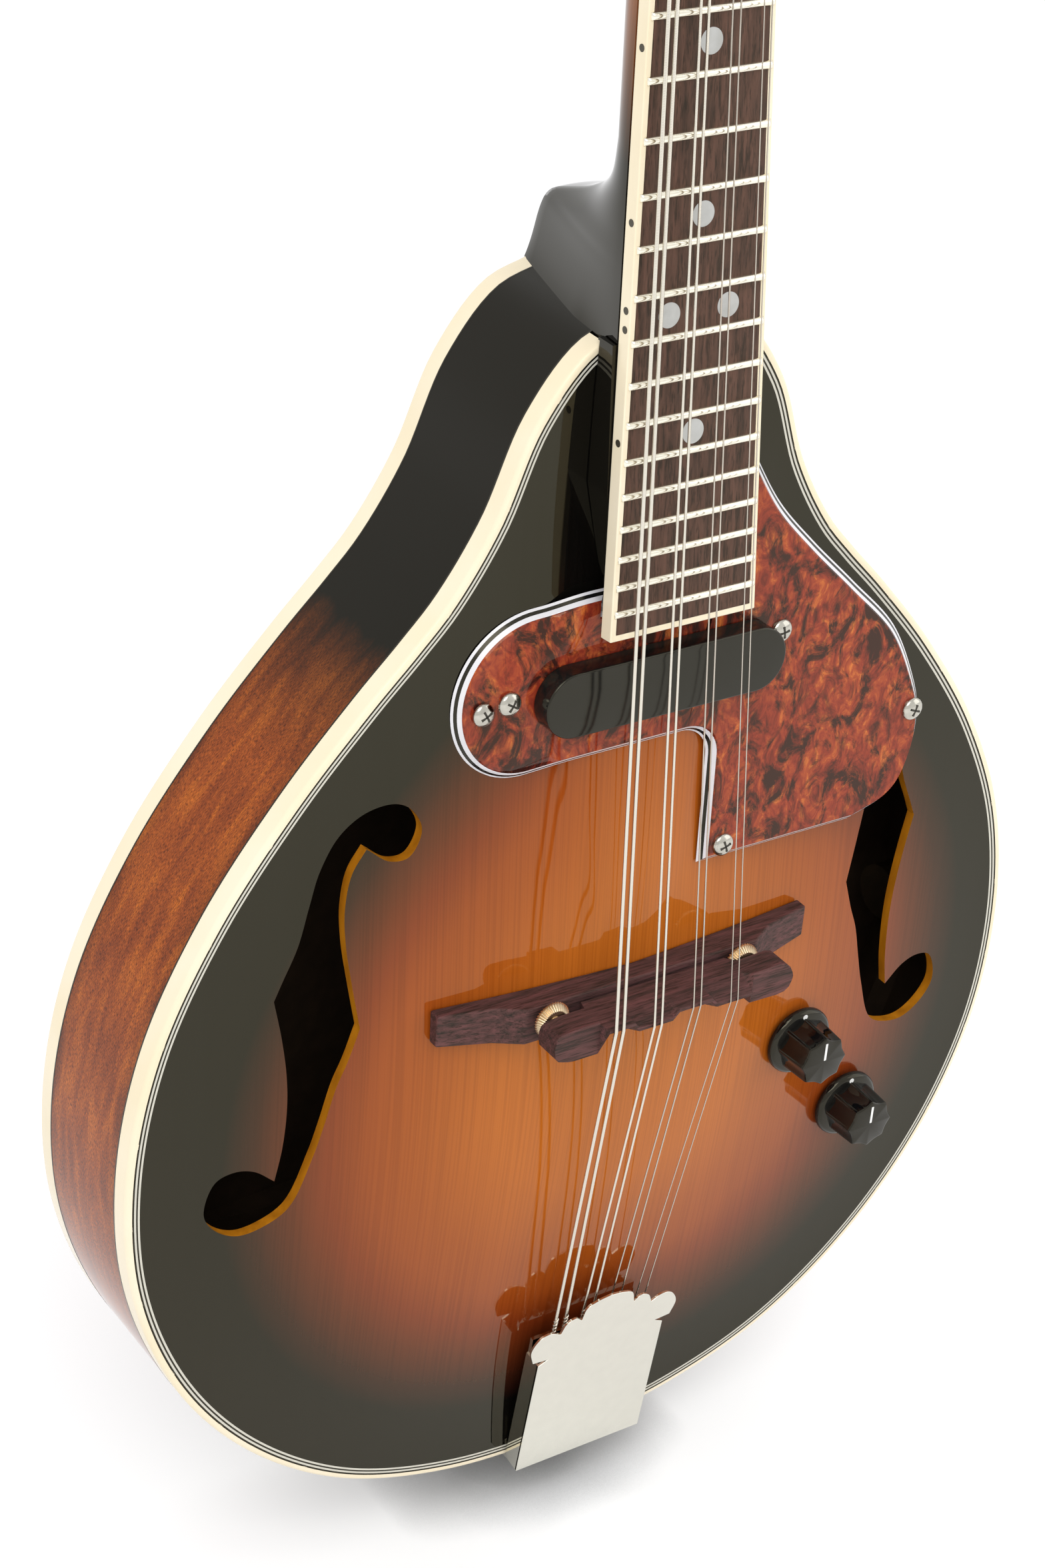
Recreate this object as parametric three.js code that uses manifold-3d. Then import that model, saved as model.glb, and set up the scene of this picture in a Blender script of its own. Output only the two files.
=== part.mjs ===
// An electro-acoustic mandolin: arched top with f-holes, floating bridge, stamped tailpiece,
// pickguard with pickup and two knobs, and open worm-geared tuners. Lengths are millimetres.
// It is laid out lying down: X across the body to the treble side, Y from the saddle line to the
// head, Z out of the top from the top's edge. At the end it is stood up on its strap button.
import * as THREE from "three";
import { mergeVertices } from "three/addons/utils/BufferGeometryUtils.js";
import Module from "manifold-3d";

const wasm = await Module();
wasm.setup();

// Gaps shared by all pieces
const SEAM = 0.3;
const OVERRUN = 30;
const TOP_CUT_MARGIN = 3;
const MERGE_DISTANCE = 0.0001;

// Body outline: half width, length, and the saddle line's distance from the tail as a share of it
const BODY_HALF_WIDTH = 135.8;
const BODY_LENGTH = 335.8;
const SADDLE_LINE_share = 0.47886;
const RIM_DEPTH = 46;
// Outline points from the tail to the neck, as shares of half width and length
const OUTLINE_shares = [
  [0, 0], [0.262, 0.0083], [0.5155, 0.0435], [0.729, 0.1096], [0.888, 0.1968], [0.9816, 0.2984],
  [1, 0.4044], [0.9536, 0.508], [0.8468, 0.6016], [0.7003, 0.6858], [0.5619, 0.7496],
  [0.4735, 0.7865], [0.4087, 0.816], [0.3299, 0.8675], [0.257, 0.9395], [0.1627, 0.9863],
  [0.07, 1],
];
const OUTLINE_STEPS = 46;

// Plates, rim and bindings
const TOP_ARCH = 11;
const BACK_ARCH = 9;
const PLATE_THICKNESS = 4;
const ARCH_EDGE_share = 0.965;
const PLATE_RING_shares = [0.22, 0.42, 0.6, 0.76, 0.9, 1];
const BINDING_WIDTH = 1.8;
const BINDING_HEIGHT = 6;
const BINDING_ROUNDING = 1.1;
const RIM_THICKNESS = 2.4;
const LINING_WIDTH = 6;
const LINING_HEIGHT = 8;
const LINING_TAPER = 4;
const BLOCK_DEPTH = 32;
const NECK_BLOCK_WIDTH = 60;
const TAIL_BLOCK_WIDTH = 56;
const BAR_WIDTH = 6;
const BAR_HEIGHT = 9;
const BAR_SEAT = 0.55;
const TONE_BAR_SPACING = 50;
const BACK_BRACE_HEIGHT = 8;
const BRACE_STEPS = 10;
// Shares of the body's length: the tone bars' length and middle, and the back braces' places
const TONE_BAR_LENGTH_share = 0.566;
const TONE_BAR_MIDDLE_share = 0.4455;
const BACK_BRACE_UPPER_share = 0.6516;
const BACK_BRACE_LOWER_share = 0.2347;
// How far a brace thins at its ends, and how late along it
const BRACE_TAPER_share = 0.6;
const BRACE_TAPER_POWER = 4;

// F-holes: length and middle as shares of the body's length, distance from the centre line as a
// share of its half width, and the treble side's points as shares of the hole's length
const F_HOLE_LENGTH_share = 0.3395;
const F_HOLE_MIDDLE_share = 0.4982;
const F_HOLE_X_share = 0.6406;
const F_HOLE_shares = [
  [-0.171, 0.501], [-0.212, 0.48], [-0.24, 0.425], [-0.212, 0.367], [-0.168, 0.366], [-0.111, 0.408],
  [-0.079, 0.356], [-0.065, 0.276], [-0.069, 0.19], [-0.086, 0.085], [-0.107, -0.026],
  [-0.081, -0.104], [-0.057, -0.164], [-0.032, -0.258], [-0.009, -0.337], [0.041, -0.458],
  [0.099, -0.493], [0.159, -0.5], [0.213, -0.469], [0.242, -0.417], [0.218, -0.339], [0.174, -0.324],
  [0.128, -0.335], [0.078, -0.375], [0.063, -0.291], [0.056, -0.193], [0.059, -0.11],
  [0.073, -0.01], [0.094, 0.091], [0.076, 0.133], [0.042, 0.211], [0.018, 0.304], [-0.004, 0.382],
  [-0.046, 0.455], [-0.104, 0.494],
];

// Neck, fingerboard and frets, in a frame tilted back from the saddle line
const SCALE_LENGTH = 352;
const FRET_COUNT = 20;
const NOTES_PER_OCTAVE = 12;
const NECK_PITCH = 0.096;
const FRET_PLANE_AT_SADDLE = 27.4;
const FRET_HALF_AT_SADDLE = 23;
const FRET_TAPER_share = 0.026;
const FRET_HEIGHT = 1;
const FRET_WIDTH = 2.2;
const FRET_CROWN_WIDTH = 1.1;
const FRET_TANG = 0.8;
const FRET_SHOULDER = 0.2;
const BOARD_THICKNESS = 4;
const BOARD_PAST_LAST_FRET = 6.87;
const BOARD_BINDING = 1.65;
const BOARD_SIDE_MARGIN = 0.65;
const NECK_DEPTH = 15;
const NUT_WIDTH = 4.5;
const NUT_RIDGE = 0.9;
const NUT_TOP = 0.2;
const NUT_BACK_DROP = 2.2;
const TRUSS_ROD_RADIUS = 2.4;
const TRUSS_ROD_INSET = 11;
const TRUSS_ROD_REACH = 8;
const TRUSS_CHANNEL_DEPTH = 7;

// Heel: how far it starts inside the body's neck end, its cap and its width under the fingerboard
const HEEL_SEAT = 9;
const HEEL_CAP_HALF_WIDTH = 9.4;
const HEEL_TOP_HALF_WIDTH = 20.6;
// Stations along the heel: distance past the body's neck end, share of full depth,
// share of the cap's half width, and how square the section is
const HEEL_REACH = 43;
const HEEL_shares = [
  [0, 1, 1, 1], [0.17, 1, 0.99, 1], [0.346, 1, 0.862, 1], [0.435, 0.995, 0.72, 0.95],
  [0.477, 0.985, 0.56, 0.9], [0.5, 0.94, 0.5, 0.8], [0.53, 0.81, 0.55, 0.65], [0.606, 0.5, 0.8, 0.4],
  [0.712, 0.25, 1, 0.15], [0.846, 0.07, 1.2, 0.05], [1, 0, 1.2, 0],
];
const NECK_SECTION_STEPS = 9;
// The heel's square section: where its side ends, how it narrows, and its width near the middle
const HEEL_SIDE_share = 0.8;
const HEEL_SIDE_POWER = 0.75;
const HEEL_MIDDLE_share = 0.2;
const TENON_WIDTH = 15;
const TENON_LENGTH = 14;
const TENON_TOP_INSET = 8;
const TENON_BOTTOM_INSET = 9;

// Support under the end of the fingerboard: its tip's distance past the fingerboard's end, and
// the share of its length where it starts to narrow
const SUPPORT_HALF_WIDTH = 20.3;
const SUPPORT_TIP_HALF_WIDTH = 13.8;
const SUPPORT_TIP_INSET = 4;
const SUPPORT_SHOULDER_share = 0.458;
const SUPPORT_REAR_GAP = 1.5;

// Headstock and tuners
const HEAD_PITCH = 0.26;
const HEAD_THICKNESS = 13;
const HEAD_LENGTH = 148;
const HEAD_HALF_WIDTH = 33;
const HEAD_DROP = 3;
const HEAD_shares = [
  [0.46, -0.04], [0.46, 0], [0.5, 0.05], [0.7, 0.12], [0.95, 0.19], [1, 0.26], [0.97, 0.5], [0.92, 0.74],
  [0.9, 0.84], [0.78, 0.91], [0.5, 0.945], [0.22, 0.985], [0, 1],
];
const TUNER_COUNT = 4;
const TUNER_SPACING = 23;
const TUNER_FIRST = 40;
const POST_OFFSET = 18.5;
const POST_RADIUS = 3;
const POST_HEIGHT = 15;
const POST_BORE_CLEARANCE = 0.4;
const POST_SIDES = 10;
const PLATE_METAL = 1;
const TUNER_PLATE_WIDTH = 16;
const TUNER_PLATE_MARGIN = 12;
const LUG_OFFSET = 5.6;
const LUG_THICKNESS = 1;
const LUG_WIDTH = 5.4;
const LUG_HEIGHT = 6;
const WORM_PITCH = 2.2;
const WHEEL_TEETH = 12;
const WORM_PITCH_RADIUS = 2.4;
const WORM_CREST = 0.55;
const WORM_ROOT = 0.85;
const WORM_TURNS = 2;
const WORM_STEPS_PER_TURN = 6;
const WORM_SIDES = 8;
// Shares of half a pitch: how far the worm's thread reaches, and how much of that is its flank
const WORM_THREAD_share = 0.72;
const WORM_FLANK_share = 0.36;
const WHEEL_CREST = 0.6;
const WHEEL_ROOT = 0.8;
// Widths of a wheel tooth's tip and root, as shares of an even spacing
const WHEEL_TIP_share = 0.6;
const WHEEL_ROOT_share = 1.1;
const WHEEL_THICKNESS = 2;
const WHEEL_STAND_OFF = 3.6;
const MESH_CLEARANCE = 0.35;
const WORM_SHAFT_RADIUS = 1.3;
const SHAFT_CLEARANCE = 0.35;
const BUTTON_GAP = 5;
const BUTTON_LENGTH = 13;
const BUTTON_WIDTH = 12;
const BUTTON_THICKNESS = 6;
const BUTTON_COLLAR = 3;
const ROD_COVER_LENGTH = 26;
const ROD_COVER_WIDTH = 17;
const ROD_COVER_THICKNESS = 1.6;
const ROD_COVER_shares = [[-0.5, 0.06], [0.5, 0.06], [0.42, 0.62], [0, 1], [-0.42, 0.62]];

// Strings: one radius for each course, from bass to treble
const STRING_RADII = [0.5, 0.36, 0.22, 0.16];
const PAIR_GAP = 2.2;
const PAIR_GAP_TAIL = 3.3;
const COURSE_SPREAD_SADDLE = 35.4;
const COURSE_SPREAD_NUT = 22;
const COURSE_SPREAD_TAIL = 26;
const STRING_SIDES = 5;
const WINDING_TURNS = 2;
const WINDING_STEPS = 8;
const WINDING_HEIGHT = 7;
const WINDING_PITCH_GAP = 0.45;
const STEEPEST_TURN_share = 0.5;

// Bridge
const BASE_HALF_LENGTH = 56.5;
const BASE_WIDTH = 10.4;
const BASE_CENTRE_Y = -0.3;
const BASE_TOP = 17;
const BASE_END_TOP = 9.6;
const BASE_WING_TOP = 12.8;
const BASE_WING_X = 42;
const BASE_SHOULDER_X = 35;
const STUD_X = 29;
const STUD_RADIUS = 1.9;
const STUD_SEAT = 3;
const THUMBWHEEL_RADIUS = 5.6;
const THUMBWHEEL_THICKNESS = 2.3;
const THUMBWHEEL_TEETH = 18;
const THUMBWHEEL_KNURL = 0.35;
const SADDLE_TRAVEL = 1;
const SADDLE_HALF_LENGTH = 38;
const SADDLE_WIDTH = 10;
const SADDLE_CENTRE_Y = 1.5;
const SADDLE_BODY_HEIGHT = 7;
// The saddle's plan and profile from its middle to its end: shares of half length, then of half
// width or of body height
const SADDLE_PLAN_shares = [[0, 0.72], [0.5, 0.72], [0.62, 1], [0.86, 1], [1, 0.36]];
const SADDLE_UPPER_shares = [[0, 1], [0.6, 1], [0.68, 0.86], [0.92, 0.86], [1, 0.6]];
const SADDLE_LOWER_shares = [[1, 0], [0.6, 0], [0.45, 0.16], [0, 0.16]];
const SADDLE_CREST_HEIGHT = 3.4;
const SADDLE_CREST_WIDTH = 5;
const SADDLE_RIDGE_WIDTH = 0.9;
const SADDLE_CREST_HALF_LENGTH = 4.6;
const COMPENSATION = 1;

// Tailpiece, set a little to the treble side of the centre line
const TAILPIECE_X = 3.5;
const COVER_TAIL_OVERHANG = 0.2;
const COVER_REAR_TOP = 6.5;
const COVER_SLOPE = 0.127;
const COVER_METAL = 0.8;
const COVER_WALL = 6;
const COVER_HALF_WIDTH = 20.4;
const COVER_FRONT = 60.2;
// Front edge of the cover from the left wall to the crest, as shares of half width and reach
const COVER_EDGE_shares = [
  [-1, 0.69], [-0.86, 0.714], [-1.1, 0.722], [-1.16, 0.797], [-1.06, 0.864], [-0.88, 0.88],
  [-0.725, 0.855], [-0.66, 0.905], [-0.515, 0.925], [-0.417, 0.9], [-0.37, 0.96], [-0.22, 0.987],
  [0, 1],
];
const FRAME_WIDTH = 38;
const FRAME_METAL = 1.2;
const FRAME_REACH = 45.8;
const FRAME_REAR_HEIGHT = 0.6;
const FRAME_SLOPE = 0.1;
const FRAME_TAIL_DROP_share = 0.826;
const FRAME_TAIL_WIDTH = 30;
const HOOK_WIDTH = 1.6;
const HOOK_LENGTH = 2;
const HOOK_HEIGHT = 3.6;
const BUTTON_FLANGE_RADIUS = 7.5;
const BUTTON_WAIST_RADIUS = 4;
const BUTTON_TIP_RADIUS = 6.5;
const STRAP_BUTTON_LENGTH = 14;
const STRAP_BUTTON_FLANGE = 2.5;

// Pickguard and pickup, on a plane that follows the arch
// Distances along it are measured from the fingerboard's end.
const GUARD_TILT = 0.045;
const GUARD_CLEARANCE = 0.48;
const GUARD_THICKNESS = 2.4;
const GUARD_LOBE_RADIUS = 22.1;
const GUARD_LOBE_X = -35;
const GUARD_LOBE_Y = -15;
const GUARD_INNER_X = 19.2;
const GUARD_LOWER_Y = -76.2;
const GUARD_CORNER_RADIUS = 8;
// Outer edge of the pickguard from the lower edge to the neck
const GUARD_WIDTH = 87.2;
const GUARD_TOP_Y = 42;
const GUARD_EDGE_STEPS = 22;
const GUARD_ARC_STEPS = 8;
const GUARD_EDGE_shares = [
  [0.775, 0], [0.897, 0.029], [0.955, 0.07], [0.998, 0.165], [0.995, 0.25], [0.966, 0.318],
  [0.87, 0.455], [0.697, 0.586], [0.538, 0.7], [0.406, 0.806], [0.313, 0.914], [0.248, 1],
];
const SUPPORT_GAP = 1.2;
const PICKUP_LENGTH = 70;
const PICKUP_WIDTH = 17;
const PICKUP_HEIGHT = 5.6;
const PICKUP_Y = -17.7;
const PICKUP_ARC_STEPS = 10;

// Knobs and pots: places as shares of the body's half width and length
const KNOB_shares = { volume: [0.4529, 0.3597], tone: [0.6281, 0.2668] };
const KNOB_SKIRT_RADIUS = 9.9;
const KNOB_SKIRT_HEIGHT = 2.4;
const KNOB_BASE_RADIUS = 7.9;
const KNOB_TOP_RADIUS = 7.3;
const KNOB_HEIGHT = 12.4;
const KNOB_FLUTES = 8;
const KNOB_FLUTE_DEPTH_share = 0.12;
const KNOB_SKIRT_ROUNDING = 1;
const KNOB_CROWN_ROUNDING = 0.5;
const KNOB_SIDES = 24;
const KNOB_CLEARANCE = 1.7;
const POT_SHAFT_RADIUS = 3;
const POT_SHAFT_DEPTH = 9;
const POT_BUSHING_RADIUS = 4.2;
const POT_BODY_RADIUS = 8.2;
const POT_BODY_HEIGHT = 9;

// Output jack on the treble side of the rim
const JACK_FLANGE_RADIUS = 9;
const JACK_FLANGE = 2.4;
const JACK_BUSHING_RADIUS = 5.6;
const JACK_BODY_RADIUS = 8;
const JACK_BODY_INSET = 1.8;
const JACK_BODY_LENGTH = 22;
const JACK_BORE_RADIUS = 3.4;
const JACK_BORE_DEPTH = 24;
const ROUND_SIDES = 16;

const materials = {
  sunburst: new THREE.MeshStandardMaterial({ color: 0xa8602a, roughness: 0.08, metalness: 0 }),
  rimWood: new THREE.MeshStandardMaterial({ color: 0x6b2e14, roughness: 0.12, metalness: 0 }),
  innerWood: new THREE.MeshStandardMaterial({ color: 0xc9a06a, roughness: 0.7, metalness: 0 }),
  blackLacquer: new THREE.MeshStandardMaterial({ color: 0x0c0b0a, roughness: 0.08, metalness: 0 }),
  cream: new THREE.MeshStandardMaterial({ color: 0xf3e5c0, roughness: 0.3, metalness: 0 }),
  rosewood: new THREE.MeshStandardMaterial({ color: 0x3c2320, roughness: 0.55, metalness: 0 }),
  nickel: new THREE.MeshStandardMaterial({ color: 0xd9d7cf, roughness: 0.15, metalness: 1 }),
  brass: new THREE.MeshStandardMaterial({ color: 0xc8a66a, roughness: 0.25, metalness: 1 }),
  steel: new THREE.MeshStandardMaterial({ color: 0xcfcac0, roughness: 0.25, metalness: 1 }),
  tortoise: new THREE.MeshStandardMaterial({ color: 0x7c2014, roughness: 0.1, metalness: 0 }),
  blackPlastic: new THREE.MeshStandardMaterial({ color: 0x101010, roughness: 0.15, metalness: 0 }),
  bone: new THREE.MeshStandardMaterial({ color: 0xe9dfc8, roughness: 0.4, metalness: 0 }),
};

// Geometry helpers

// Turns a mesh outwards if its faces point in.
function outward(geometry) {
  const position = geometry.attributes.position;
  const index = geometry.index.array;
  const [a, b, c] = [new THREE.Vector3(), new THREE.Vector3(), new THREE.Vector3()];
  let volume = 0;
  for (let i = 0; i < index.length; i += 3) {
    a.fromBufferAttribute(position, index[i]);
    b.fromBufferAttribute(position, index[i + 1]);
    c.fromBufferAttribute(position, index[i + 2]);
    volume += a.dot(b.cross(c));
  }
  if (volume < 0) {
    for (let i = 0; i < index.length; i += 3) {
      [index[i], index[i + 1]] = [index[i + 1], index[i]];
    }
  }
  return geometry;
}

function indexed(points, index) {
  const geometry = new THREE.BufferGeometry();
  const places = points.flatMap((p) => [p.x, p.y, p.z]);
  geometry.setAttribute("position", new THREE.Float32BufferAttribute(places, 3));
  geometry.setIndex(index);
  return outward(geometry);
}

// Triangles of a flat ring of points, in the ring's own order.
function capTriangles(ring) {
  const normal = new THREE.Vector3();
  ring.forEach((p, i) => normal.add(p.clone().cross(ring[(i + 1) % ring.length])));
  normal.normalize();
  const right = new THREE.Vector3().subVectors(ring[1], ring[0]).normalize();
  const up = new THREE.Vector3().crossVectors(normal, right);
  const flat = ring.map((p) => new THREE.Vector2(p.dot(right), p.dot(up)));
  return THREE.ShapeUtils.triangulateShape(flat, []).map(([a, b, c]) => {
    const side = new THREE.Vector2().subVectors(flat[b], flat[a]);
    const turn = side.cross(new THREE.Vector2().subVectors(flat[c], flat[a]));
    return turn > 0 ? [a, b, c] : [a, c, b];
  });
}

// Joins rings of points into a closed solid, end to end or closed on itself.
function loft(rings, closed = false) {
  const count = rings[0].length;
  const index = [];
  const spans = closed ? rings.length : rings.length - 1;
  for (let i = 0; i < spans; i++) {
    const next = ((i + 1) % rings.length) * count;
    for (let j = 0; j < count; j++) {
      const k = (j + 1) % count;
      index.push(i * count + j, i * count + k, next + k, i * count + j, next + k, next + j);
    }
  }
  if (!closed) {
    capTriangles(rings[0]).forEach(([a, b, c]) => index.push(a, c, b));
    const last = (rings.length - 1) * count;
    capTriangles(rings.at(-1)).forEach(([a, b, c]) => index.push(last + a, last + b, last + c));
  }
  return indexed(rings.flat(), index);
}

// A closed mesh as a solid that can be cut and joined.
function toSolid(geometry) {
  const bare = geometry.clone();
  bare.deleteAttribute("normal");
  bare.deleteAttribute("uv");
  const merged = mergeVertices(bare, MERGE_DISTANCE);
  const vertProperties = new Float32Array(merged.attributes.position.array);
  const triVerts = new Uint32Array(merged.index.array);
  return new wasm.Manifold(new wasm.Mesh({ numProp: 3, vertProperties, triVerts }));
}

function fromSolid(solid) {
  const mesh = solid.getMesh();
  const geometry = new THREE.BufferGeometry();
  geometry.setAttribute("position", new THREE.Float32BufferAttribute(mesh.vertProperties, 3));
  geometry.setIndex(new THREE.BufferAttribute(new Uint32Array(mesh.triVerts), 1));
  return geometry;
}

function cut(geometry, ...tools) {
  return fromSolid(tools.reduce((solid, tool) => solid.subtract(toSolid(tool)), toSolid(geometry)));
}

function join(geometry, ...others) {
  return fromSolid(others.reduce((solid, other) => solid.add(toSolid(other)), toSolid(geometry)));
}

function overlap(geometry, other) {
  return fromSolid(toSolid(geometry).intersect(toSolid(other)));
}

// A flat outline raised from one height to another.
function prism(points, low, high) {
  const shape = new THREE.Shape(points.map((p) => new THREE.Vector2(p.x, p.y)));
  const geometry = new THREE.ExtrudeGeometry(shape, { depth: high - low, bevelEnabled: false });
  return geometry.translate(0, 0, low);
}

// A profile in X and Z drawn out from one Y to another.
function profileBar(points, lowY, highY) {
  return loft([lowY, highY].map((y) => points.map(([x, z]) => new THREE.Vector3(x, y, z))));
}

function block(lowX, highX, lowY, highY, lowZ, highZ) {
  const geometry = new THREE.BoxGeometry(highX - lowX, highY - lowY, highZ - lowZ);
  return geometry.translate((lowX + highX) / 2, (lowY + highY) / 2, (lowZ + highZ) / 2);
}

// An upright cylinder from one height to another.
function post(radius, x, y, low, high, sides = ROUND_SIDES) {
  const geometry = new THREE.CylinderGeometry(radius, radius, high - low, sides).rotateX(Math.PI / 2);
  return geometry.translate(x, y, (low + high) / 2);
}

function vector([x, y]) {
  return new THREE.Vector2(x, y);
}

// Points of one half, from the middle outwards, with their mirror images before them.
function mirrored(half) {
  return [...half.map(([x, y]) => [-x, y]).reverse(), ...half.filter(([x]) => x > 0)];
}

function lerp(a, b, t) {
  return a + (b - a) * t;
}

const tailToSaddle = SADDLE_LINE_share * BODY_LENGTH;
const root = new THREE.Group();
const lying = new THREE.Group();
lying.rotation.x = Math.PI / 2;
const tailHeight = tailToSaddle + 2 * SEAM + FRAME_METAL + STRAP_BUTTON_LENGTH;
lying.position.set(0, -RIM_DEPTH / 2, tailHeight);
root.add(lying);

function add(parent, name, geometry, material) {
  const mesh = new THREE.Mesh(geometry, material);
  mesh.name = name;
  parent.add(mesh);
  return mesh;
}

// Body outline

const neckEndY = BODY_LENGTH - tailToSaddle;
// A place along the body, given as a share of its length from the tail.
const alongBody = (share) => share * BODY_LENGTH - tailToSaddle;
const halfOutline = OUTLINE_shares.map(([x, y]) => [x * BODY_HALF_WIDTH, alongBody(y)]);
const boutCentreY = alongBody(OUTLINE_shares[6][1]);
const outlineCurve = new THREE.CatmullRomCurve3(
  mirrored(halfOutline).map(([x, y]) => new THREE.Vector3(x, y, 0)), false, "centripetal",
);

// Outline points from the bass side of the neck round the tail to the treble side.
const outline = outlineCurve.getSpacedPoints(OUTLINE_STEPS).map((p) => new THREE.Vector2(p.x, p.y));

// The outline without the part at the neck that is nearer the centre line than this.
function openOutline(endHalfWidth) {
  const kept = (p) => p.x > -MERGE_DISTANCE && (p.y < boutCentreY || p.x > endHalfWidth);
  const treble = outline.filter(kept);
  const last = treble.at(-1);
  const after = outline[(outline.indexOf(last) + 1) % outline.length];
  const end = last.clone().lerp(after, (last.x - endHalfWidth) / (last.x - after.x));
  const side = [...treble, end];
  const bass = side.filter((p) => p.x > MERGE_DISTANCE).map((p) => new THREE.Vector2(-p.x, p.y)).reverse();
  return [...bass, ...side];
}

// Outward direction at each point of a path, stretched at corners so that offsets stay parallel.
function outwardAt(path, i, closed) {
  const count = path.length;
  const sides = [];
  if (closed || i > 0) sides.push(path[i].clone().sub(path[(i - 1 + count) % count]));
  if (closed || i < count - 1) sides.push(path[(i + 1) % count].clone().sub(path[i]));
  const normals = sides.map((d) => new THREE.Vector2(d.y, -d.x).normalize());
  const sum = normals[0].clone().add(normals.at(-1)).normalize();
  return sum.divideScalar(sum.dot(normals[0]));
}

function offsetPath(path, inward, closed = true) {
  return path.map((p, i) => p.clone().addScaledVector(outwardAt(path, i, closed), -inward));
}

// A band along a path; its section is given as distance inwards and height.
function band(path, section, closed) {
  const rings = path.map((p, i) => {
    const direction = outwardAt(path, i, closed);
    return section.map(([inward, z]) => (
      new THREE.Vector3(p.x - direction.x * inward, p.y - direction.y * inward, z)));
  });
  return loft(rings, closed);
}

// Share of the way from the bout's centre to the outline, 0 to 1.
const outlineTurns = outline.filter((p) => p.x >= 0).map((p) => (
  [Math.atan2(p.x, boutCentreY - p.y), Math.hypot(p.x, p.y - boutCentreY)]));
function edgeShare(x, y) {
  const turn = Math.atan2(Math.abs(x), boutCentreY - y);
  const reach = Math.hypot(x, y - boutCentreY);
  const after = outlineTurns.findIndex(([angle]) => angle >= turn);
  if (after < 0) return reach * Math.cos(Math.PI - turn) / (neckEndY - boutCentreY);
  if (after === 0) return reach / outlineTurns[0][1];
  const [lowTurn, lowReach] = outlineTurns[after - 1];
  const [highTurn, highReach] = outlineTurns[after];
  return reach / lerp(lowReach, highReach, (turn - lowTurn) / (highTurn - lowTurn));
}

function archAt(x, y, height) {
  return height * (1 + Math.cos(Math.PI * Math.min(1, edgeShare(x, y) / ARCH_EDGE_share))) / 2;
}

const topAt = (x, y) => archAt(x, y, TOP_ARCH);
const topUnder = (x, y) => topAt(x, y) - PLATE_THICKNESS;
const backAt = (x, y) => -RIM_DEPTH - archAt(x, y, BACK_ARCH);
const backOver = (x, y) => backAt(x, y) + PLATE_THICKNESS;

// A plate between two curved surfaces inside a closed edge.
function plate(edge, upper, lower) {
  const centre = new THREE.Vector2(0, boutCentreY);
  const count = edge.length;
  const points = [];
  [upper, lower].forEach((height) => {
    points.push(new THREE.Vector3(centre.x, centre.y, height(centre.x, centre.y)));
    PLATE_RING_shares.forEach((share) => edge.forEach((p) => {
      const q = centre.clone().lerp(p, share);
      points.push(new THREE.Vector3(q.x, q.y, height(q.x, q.y)));
    }));
  });
  const index = [];
  const face = 1 + PLATE_RING_shares.length * count;
  const put = (a, b, c, flipped) => index.push(...(flipped ? [a, c, b] : [a, b, c]));
  [0, face].forEach((start, side) => {
    for (let j = 0; j < count; j++) {
      const k = (j + 1) % count;
      put(start, start + 1 + j, start + 1 + k, side === 1);
      for (let ring = 1; ring < PLATE_RING_shares.length; ring++) {
        const inner = start + 1 + (ring - 1) * count;
        const outer = inner + count;
        put(inner + j, outer + j, outer + k, side === 1);
        put(inner + j, outer + k, inner + k, side === 1);
      }
    }
  });
  const rim = 1 + (PLATE_RING_shares.length - 1) * count;
  for (let j = 0; j < count; j++) {
    const k = (j + 1) % count;
    index.push(rim + j, face + rim + j, face + rim + k, rim + j, face + rim + k, rim + k);
  }
  return indexed(points, index);
}

const plateEdge = offsetPath(outline, BINDING_WIDTH + SEAM);
// The space below the top's surface, lifted by a clearance; it cuts what stands on the top.
const underTop = plate(offsetPath(outline, -TOP_CUT_MARGIN), (x, y) => topAt(x, y) + SEAM, () => -OVERRUN);

// Neck frame: local Y runs along the frets' plane and local Z stands out of it
const neckFrame = new THREE.Group();
neckFrame.position.set(0, 0, FRET_PLANE_AT_SADDLE);
neckFrame.rotation.x = -NECK_PITCH;
lying.add(neckFrame);
neckFrame.updateMatrix();

const fretAt = (number) => SCALE_LENGTH * Math.pow(2, -number / NOTES_PER_OCTAVE);
const boardEnd = fretAt(FRET_COUNT) - BOARD_PAST_LAST_FRET;
const boardHalf = (y) => FRET_HALF_AT_SADDLE - FRET_TAPER_share * y + BOARD_SIDE_MARGIN;
const woodHalf = (y) => boardHalf(y) - BOARD_BINDING;
const boardBottom = -FRET_HEIGHT - BOARD_THICKNESS;
const nutY = SCALE_LENGTH + SEAM;
const headStart = SCALE_LENGTH + NUT_WIDTH;

// Height of the neck's upper face over a place along the body.
function neckTopZ(y) {
  return FRET_PLANE_AT_SADDLE - Math.tan(NECK_PITCH) * y + (boardBottom - SEAM) / Math.cos(NECK_PITCH);
}

// Plates

const knobPlaces = Object.entries(KNOB_shares).map(([name, [across, along]]) => (
  { name, x: across * BODY_HALF_WIDTH, y: alongBody(along) }));
const knobBores = knobPlaces.map(({ x, y }) => post(POT_BUSHING_RADIUS + SEAM, x, y, -OVERRUN, OVERRUN));

function fHole(side) {
  const length = F_HOLE_LENGTH_share * BODY_LENGTH;
  const middle = new THREE.Vector2(F_HOLE_X_share * BODY_HALF_WIDTH, alongBody(F_HOLE_MIDDLE_share));
  const points = F_HOLE_shares.map(([x, y]) => (
    new THREE.Vector2(side * (middle.x + x * length), middle.y + y * length)));
  return prism(side > 0 ? points : points.reverse(), -OVERRUN, OVERRUN);
}

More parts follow.
